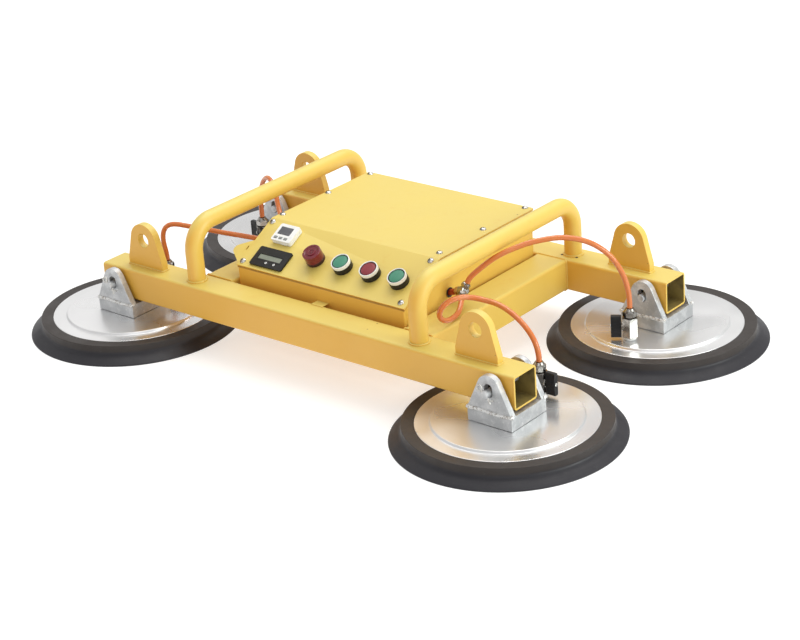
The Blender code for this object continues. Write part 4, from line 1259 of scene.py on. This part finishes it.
def make_button(name, x):
    at = on_panel(x, BUTTON_UP)
    collar = [(0, -0.0350), (0.0106, -0.0350), (0.0106, 0.0003), (0.0145, 0.0003), (0.0148, 0.0007),
              (0.0148, 0.0093), (0.0145, 0.0098), (0.0132, 0.0098), (0.0128, 0.0142), (0.0123, 0.0142),
              (0.0123, 0.0066), (0.0062, 0.0066), (0.0062, -0.0280), (0, -0.0280)]
    barrel = solid(f"{name}_collar", lathe(collar, 56, close=False), BLACK, at)
    on_body(barrel, "frame")
    ring = [(0.0136, 0.0095), (0.0144, 0.0095), (0.0145, 0.0100), (0.0145, 0.0141),
            *arc((0.0139, 0.0147), 0.0006, 0, 90, 4), (0.0134, 0.0153), (0.0130, 0.0149), (0.0130, 0.0104)]
    bezel = solid(f"{name}_ring", lathe(ring, 56), WHITE, at)
    on_body(bezel, "frame", f"{name}_bezel")
    crown = [(0, 0.0050), (0.0055, 0.0050), (0.0055, 0.0115), (0.0115, 0.0115), (0.0115, 0.0142),
             (0.0110, 0.0148), (0.0101, 0.0149), (0.0098, 0.0147), (0.0095, 0.0149), (0.0060, 0.0151),
             (0, 0.0152)]
    finish = RED if name.startswith("red") else GREEN
    cap = solid(f"{name}_crown", lathe(crown, 56, close=False), finish, at)
    on_body(cap, name, f"{name}_cap")


def make_tee(side):
    """Barrel, two small compression nuts, and an inlet that passes the wall in a short red sleeve."""
    sign = SIDES[side]
    centre = tee_centre(side)
    hole = Vector((sign * HOSE_HOLE.x, HOSE_HOLE.y, HOSE_HOLE.z))
    inward = (hole - centre).normalized()
    barrel = tube([centre - inward * 0.0065, centre - inward * 0.0056, centre + inward * 0.0060],
                  [0.0054, 0.0068, 0.0068], 32)
    on_body(solid(f"tee_barrel_{side}", barrel, NICKEL), "frame", f"hose_tee_{side}")
    nut = bar(centre + inward * 0.0056, centre + inward * 0.0126, 0.0076, 6)
    hexagon = solid(f"tee_inlet_nut_{side}", nut, BRASS)
    soften(hexagon, 0.0006, 2)
    on_body(hexagon, "frame")
    end = centre + inward * ((hole - centre).length + 0.016)
    spigot = solid(f"tee_spigot_{side}", bar(centre, end, 0.0036, 24), NICKEL)
    on_body(spigot, "frame")
    wall = (hole - centre).length
    sleeve_path = [centre + inward * t for t in (0.0126, 0.0180, wall - 0.0020, wall + 0.0120)]
    sleeve = tube(sleeve_path, [0.0044, 0.0047, 0.0046, 0.0046], 24)
    on_body(solid(f"tee_sleeve_{side}", sleeve, SLEEVE), "frame")
    profile = [(0.0050, 0), (0.0064, 0), (0.0074, 0.0004), (0.0076, 0.0012), (0.0070, 0.0016),
               (0.0050, 0.0010)]
    at = shift(sign * BOX_X, HOSE_HOLE.y, HOSE_HOLE.z)
    at = at @ spin(sign * math.pi / 2, "Y")
    rim = solid(f"hole_rim_{side}", lathe(profile, 32), RUBBER, at)
    on_body(rim, "frame")
    shapes = (("arm", (0.002, 0.0124), (0.0052, 0.0052), 28),
              ("nut", (0.0060, 0.0110), (0.0071, 0.0071), 6),
              ("lip", (0.0108, 0.0122, 0.0130), (0.0060, 0.0058, 0.0048), 28))
    for port in ("front", "rear"):
        for kind, reaches, radii, sides in shapes:
            points = [tee_point(side, port, reach) for reach in reaches]
            part = solid(f"tee_{kind}_{port}_{side}", tube(points, radii, sides), NICKEL)
            if kind == "nut":
                soften(part, 0.0006, 2)
            on_body(part, "frame")


make_cover()
make_housing()
make_seam_shadows_and_clip()
make_cover_screws()
make_hour_meter()
make_gauge()
make_buzzer()
for name, x in BUTTONS.items():
    make_button(name, x)
for side in SIDES:
    make_tee(side)

INSIDE = {
    "battery": BATTERY,
    "pump_motor": MOTOR,
    "pump_head": CAST,
    "solenoid_valve": BLACK,
    "vacuum_filter": BLACK,
    "control_board": BOARD,
}
for node, finish in INSIDE.items():
    frame["nodes"][node].data.materials.clear()
    frame["nodes"][node].data.materials.append(finish)
